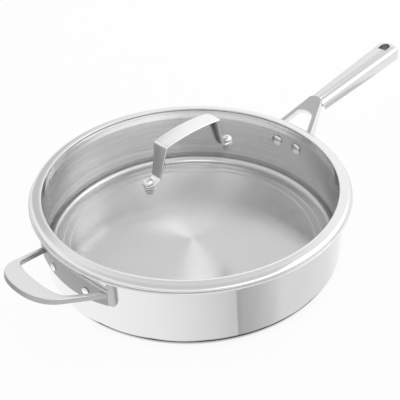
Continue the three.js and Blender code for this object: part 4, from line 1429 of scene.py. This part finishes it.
class SAUTEPAN_OT_studio(bpy.types.Operator):
    """Lays the pale floor, sets the soft light and places the camera"""
    bl_idname = "sautepan.studio"
    bl_label = "Studio"

    def execute(self, context):
        scene = context.scene
        studio = scene.saute_pan.studio
        self.add_floor(studio)
        self.add_room(scene, studio)
        self.add_card(scene.saute_pan.pan)
        self.add_lamps(scene)
        self.add_camera(scene, studio)
        scene.view_settings.view_transform = "Standard"
        return {"FINISHED"}

    def add_floor(self, studio):
        """A wide pale floor that looks white and keeps a thin shadow at the pan's foot."""
        rings = [(radius, FLOOR_LEVEL) for radius in FLOOR_RADII]
        floor = shaped("floor", *turned(rings, FLOOR_SIDES))
        finish, tree, shader = fresh_finish("pale_floor", studio.floor, FLOOR_GLOSS, 0.0)
        clouds = mottle(tree, gathered(tree, *split(tree, "Object")), *FLOOR_CLOUDS)
        colour = shaded(tree, clouds, studio.floor, FLOOR_SHADE)
        joined(tree, colour, shader.inputs["Base Color"])
        corner = added(tree, "ShaderNodeAmbientOcclusion", {"Distance": CORNER_REACH})["AO"]
        strength = between(tree, corner, GLOW_LEAST, GLOW_MOST)
        glow = glowing(tree, "ShaderNodeEmission", strength)
        white = mixed_shader(tree, GLOW_PART, shader.outputs[0], glow)
        look = mixed_shader(tree, seen_part(tree), shader.outputs[0], white)
        joined(tree, look, tree.nodes["Material Output"].inputs["Surface"])
        floor.data.materials.append(finish)

    def add_card(self, pan):
        """A graded grey card on the floor before and beside the pan, seen only in mirrors."""
        # Painted reflection: the card glows and only mirrors see it; dark under the foot is painted
        # shade.
        radius = pan.inner_radius + pan.wall
        across = len(CARD_UNDER) + len(CARD_REACH)
        vertices, faces, tones = [], [], []
        for turn, near, far in CARD_ROWS:
            side = math.radians(turn)
            foot = heading(CARD_FACING + side) * radius
            away = heading(CARD_FACING + 2 * side)
            vertices += [foot * part for part in CARD_UNDER]
            vertices += [foot + away * reach for reach in CARD_REACH]
            tones += [CARD_UNDER_PAINTED_SHADE] * len(CARD_UNDER) + [near, near, far]
        for row in range(len(CARD_ROWS) - 1):
            for ring in range(across - 1):
                a = across * row + ring
                faces.append((a, a + 1, a + across + 1, a + across))
        faces.append(tuple(range(len(vertices), len(vertices) + len(SIDE_CARD))))
        vertices += [(x, y, 0.0) for x, y in SIDE_CARD]
        tones += [SIDE_CARD_TONE] * len(SIDE_CARD)
        card = shaped("grey_card", vertices, faces)
        card.data.attributes.new("tone", "FLOAT", "POINT").data.foreach_set("value", tones)
        finish = bpy.data.materials.new("graded_card")
        finish.use_nodes = True
        tree = finish.node_tree
        grade = added(tree, "ShaderNodeAttribute", {}, attribute_name="tone")["Fac"]
        glow = glowing(tree, "ShaderNodeEmission", grade)
        joined(tree, glow, tree.nodes["Material Output"].inputs["Surface"])
        card.data.materials.append(finish)
        card.visible_camera = False
        card.visible_diffuse = False
        card.visible_transmission = False
        card.visible_shadow = False

    def add_room(self, scene, studio):
        """A white room. Mirrors see it graded, with a bright pane at the right and a left shade."""
        room = bpy.data.worlds.new("white_room")
        room.use_nodes = True
        tree = room.node_tree
        fill = tree.nodes["Background"]
        fed(tree, fill, {"Color": WHITE, "Strength": studio.fill})
        x, y, height = split(tree, "Generated")

        def toward(way, rows):
            return stepped(tree, weighed(tree, x, way[0], y, way[1]), rows)

        front = stepped(tree, height, FRONT_ROWS)
        back = stepped(tree, height, BACK_ROWS)
        change = reckoned(tree, "SUBTRACT", back, front)
        spread = times(tree, change, toward(BEHIND, BEHIND_ROWS))
        pane = times(tree, toward(RIGHT, PANE_ROWS), stepped(tree, height, PANE_HEIGHTS))
        left = times(tree, toward(LEFT, SHADE_ROWS), stepped(tree, height, SHADE_HEIGHTS))
        shade = times(tree, left, stepped(tree, x, SHADE_DEPTHS))
        even = reckoned(tree, "SUBTRACT", reckoned(tree, "ADD", front, spread), shade)
        strength = reckoned(tree, "ADD", even, pane)
        mirrored_room = glowing(tree, "ShaderNodeBackground", strength)
        white_room = glowing(tree, "ShaderNodeBackground", 1.0)
        straight = added(tree, "ShaderNodeLightPath", {})["Is Camera Ray"]
        white = mixed_shader(tree, straight, mirrored_room, white_room)
        look = mixed_shader(tree, seen_part(tree), fill.outputs[0], white)
        joined(tree, look, tree.nodes["World Output"].inputs["Surface"])
        scene.world = room

    def add_lamps(self, scene):
        """A soft box at the right for all, and boxes above and behind for the pan alone."""
        lit = collected("lit_through_glass", LIT_ALONE)
        passed = {name: collected(name, starts) for name, starts in PASSED.items()}
        for group in passed.values():
            for member in group.collection_objects:
                member.light_linking.link_state = "EXCLUDE"
        for name, place, width, depth, power, through in LAMPS:
            lamp = bpy.data.lights.new(name, "AREA")
            lamp.shape = "RECTANGLE"
            lamp.size = width
            lamp.size_y = depth
            lamp.energy = power
            box = bpy.data.objects.new(name, lamp)
            box.location = place
            box.rotation_euler = (-Vector(place)).to_track_quat("-Z", "Y").to_euler()
            if through:
                box.light_linking.receiver_collection = lit
                box.light_linking.blocker_collection = passed[through]
            scene.collection.objects.link(box)

    def add_camera(self, scene, studio):
        """The camera at the picture's own height, side and turn."""
        lens = bpy.data.cameras.new("picture")
        lens.sensor_width = 36.0
        lens.lens = studio.lens
        lens.clip_start = 10 * MM
        camera = bpy.data.objects.new("picture", lens)
        place, aim = Vector(studio.camera_place), Vector(studio.camera_aim)
        ahead = (aim - place).normalized()
        right = ahead.cross(Vector((0, 0, 1))).normalized()
        up = right.cross(ahead)
        roll = studio.camera_roll
        across = right * math.cos(roll) + up * math.sin(roll)
        above = up * math.cos(roll) - right * math.sin(roll)
        turn = Matrix((across, above, -ahead)).transposed()
        camera.matrix_world = Matrix.Translation(place) @ turn.to_4x4()
        scene.collection.objects.link(camera)
        scene.camera = camera


class SAUTEPAN_PT_panel(bpy.types.Panel):
    """Settings and steps of the saute pan"""
    bl_label = "Saute pan"
    bl_idname = "SAUTEPAN_PT_panel"
    bl_space_type = "VIEW_3D"
    bl_region_type = "UI"
    bl_category = "Saute pan"

    def draw(self, context):
        kit = context.scene.saute_pan
        for group in SautePan.__annotations__:
            part = getattr(kit, group)
            box = self.layout.box()
            box.label(text=kit.bl_rna.properties[group].name)
            for name in type(part).__annotations__:
                box.prop(part, name)
        for step in STEPS:
            self.layout.operator(step.bl_idname)


GROUPS = (
    PanSizes, RivetSizes, HandleSizes, SaddleSizes, HelperSizes, LidSizes, StrapSizes, Finishes,
    StudioSettings, SautePan)
STEPS = (
    SAUTEPAN_OT_pan_body,
    SAUTEPAN_OT_long_handle,
    SAUTEPAN_OT_helper_handle,
    SAUTEPAN_OT_wall_rivets,
    SAUTEPAN_OT_lid_glass,
    SAUTEPAN_OT_lid_rim,
    SAUTEPAN_OT_lid_handle,
    SAUTEPAN_OT_lid_fasteners,
    SAUTEPAN_OT_studio,
)
CLASSES = GROUPS + STEPS + (SAUTEPAN_PT_panel,)


def register():
    """Adds the settings, the steps and the panel."""
    for part in CLASSES:
        bpy.utils.register_class(part)
    bpy.types.Scene.saute_pan = settings(SautePan, "Saute pan", "Settings of the saute pan")


def unregister():
    """Removes what register added."""
    del bpy.types.Scene.saute_pan
    for part in reversed(CLASSES):
        bpy.utils.unregister_class(part)


def main():
    """Builds every piece and the studio."""
    register()
    bpy.ops.sautepan.pan_body()
    bpy.ops.sautepan.long_handle()
    bpy.ops.sautepan.helper_handle()
    bpy.ops.sautepan.wall_rivets()
    bpy.ops.sautepan.lid_glass()
    bpy.ops.sautepan.lid_rim()
    bpy.ops.sautepan.lid_handle()
    bpy.ops.sautepan.lid_fasteners()
    bpy.ops.sautepan.studio()


if __name__ == "__main__":
    main()
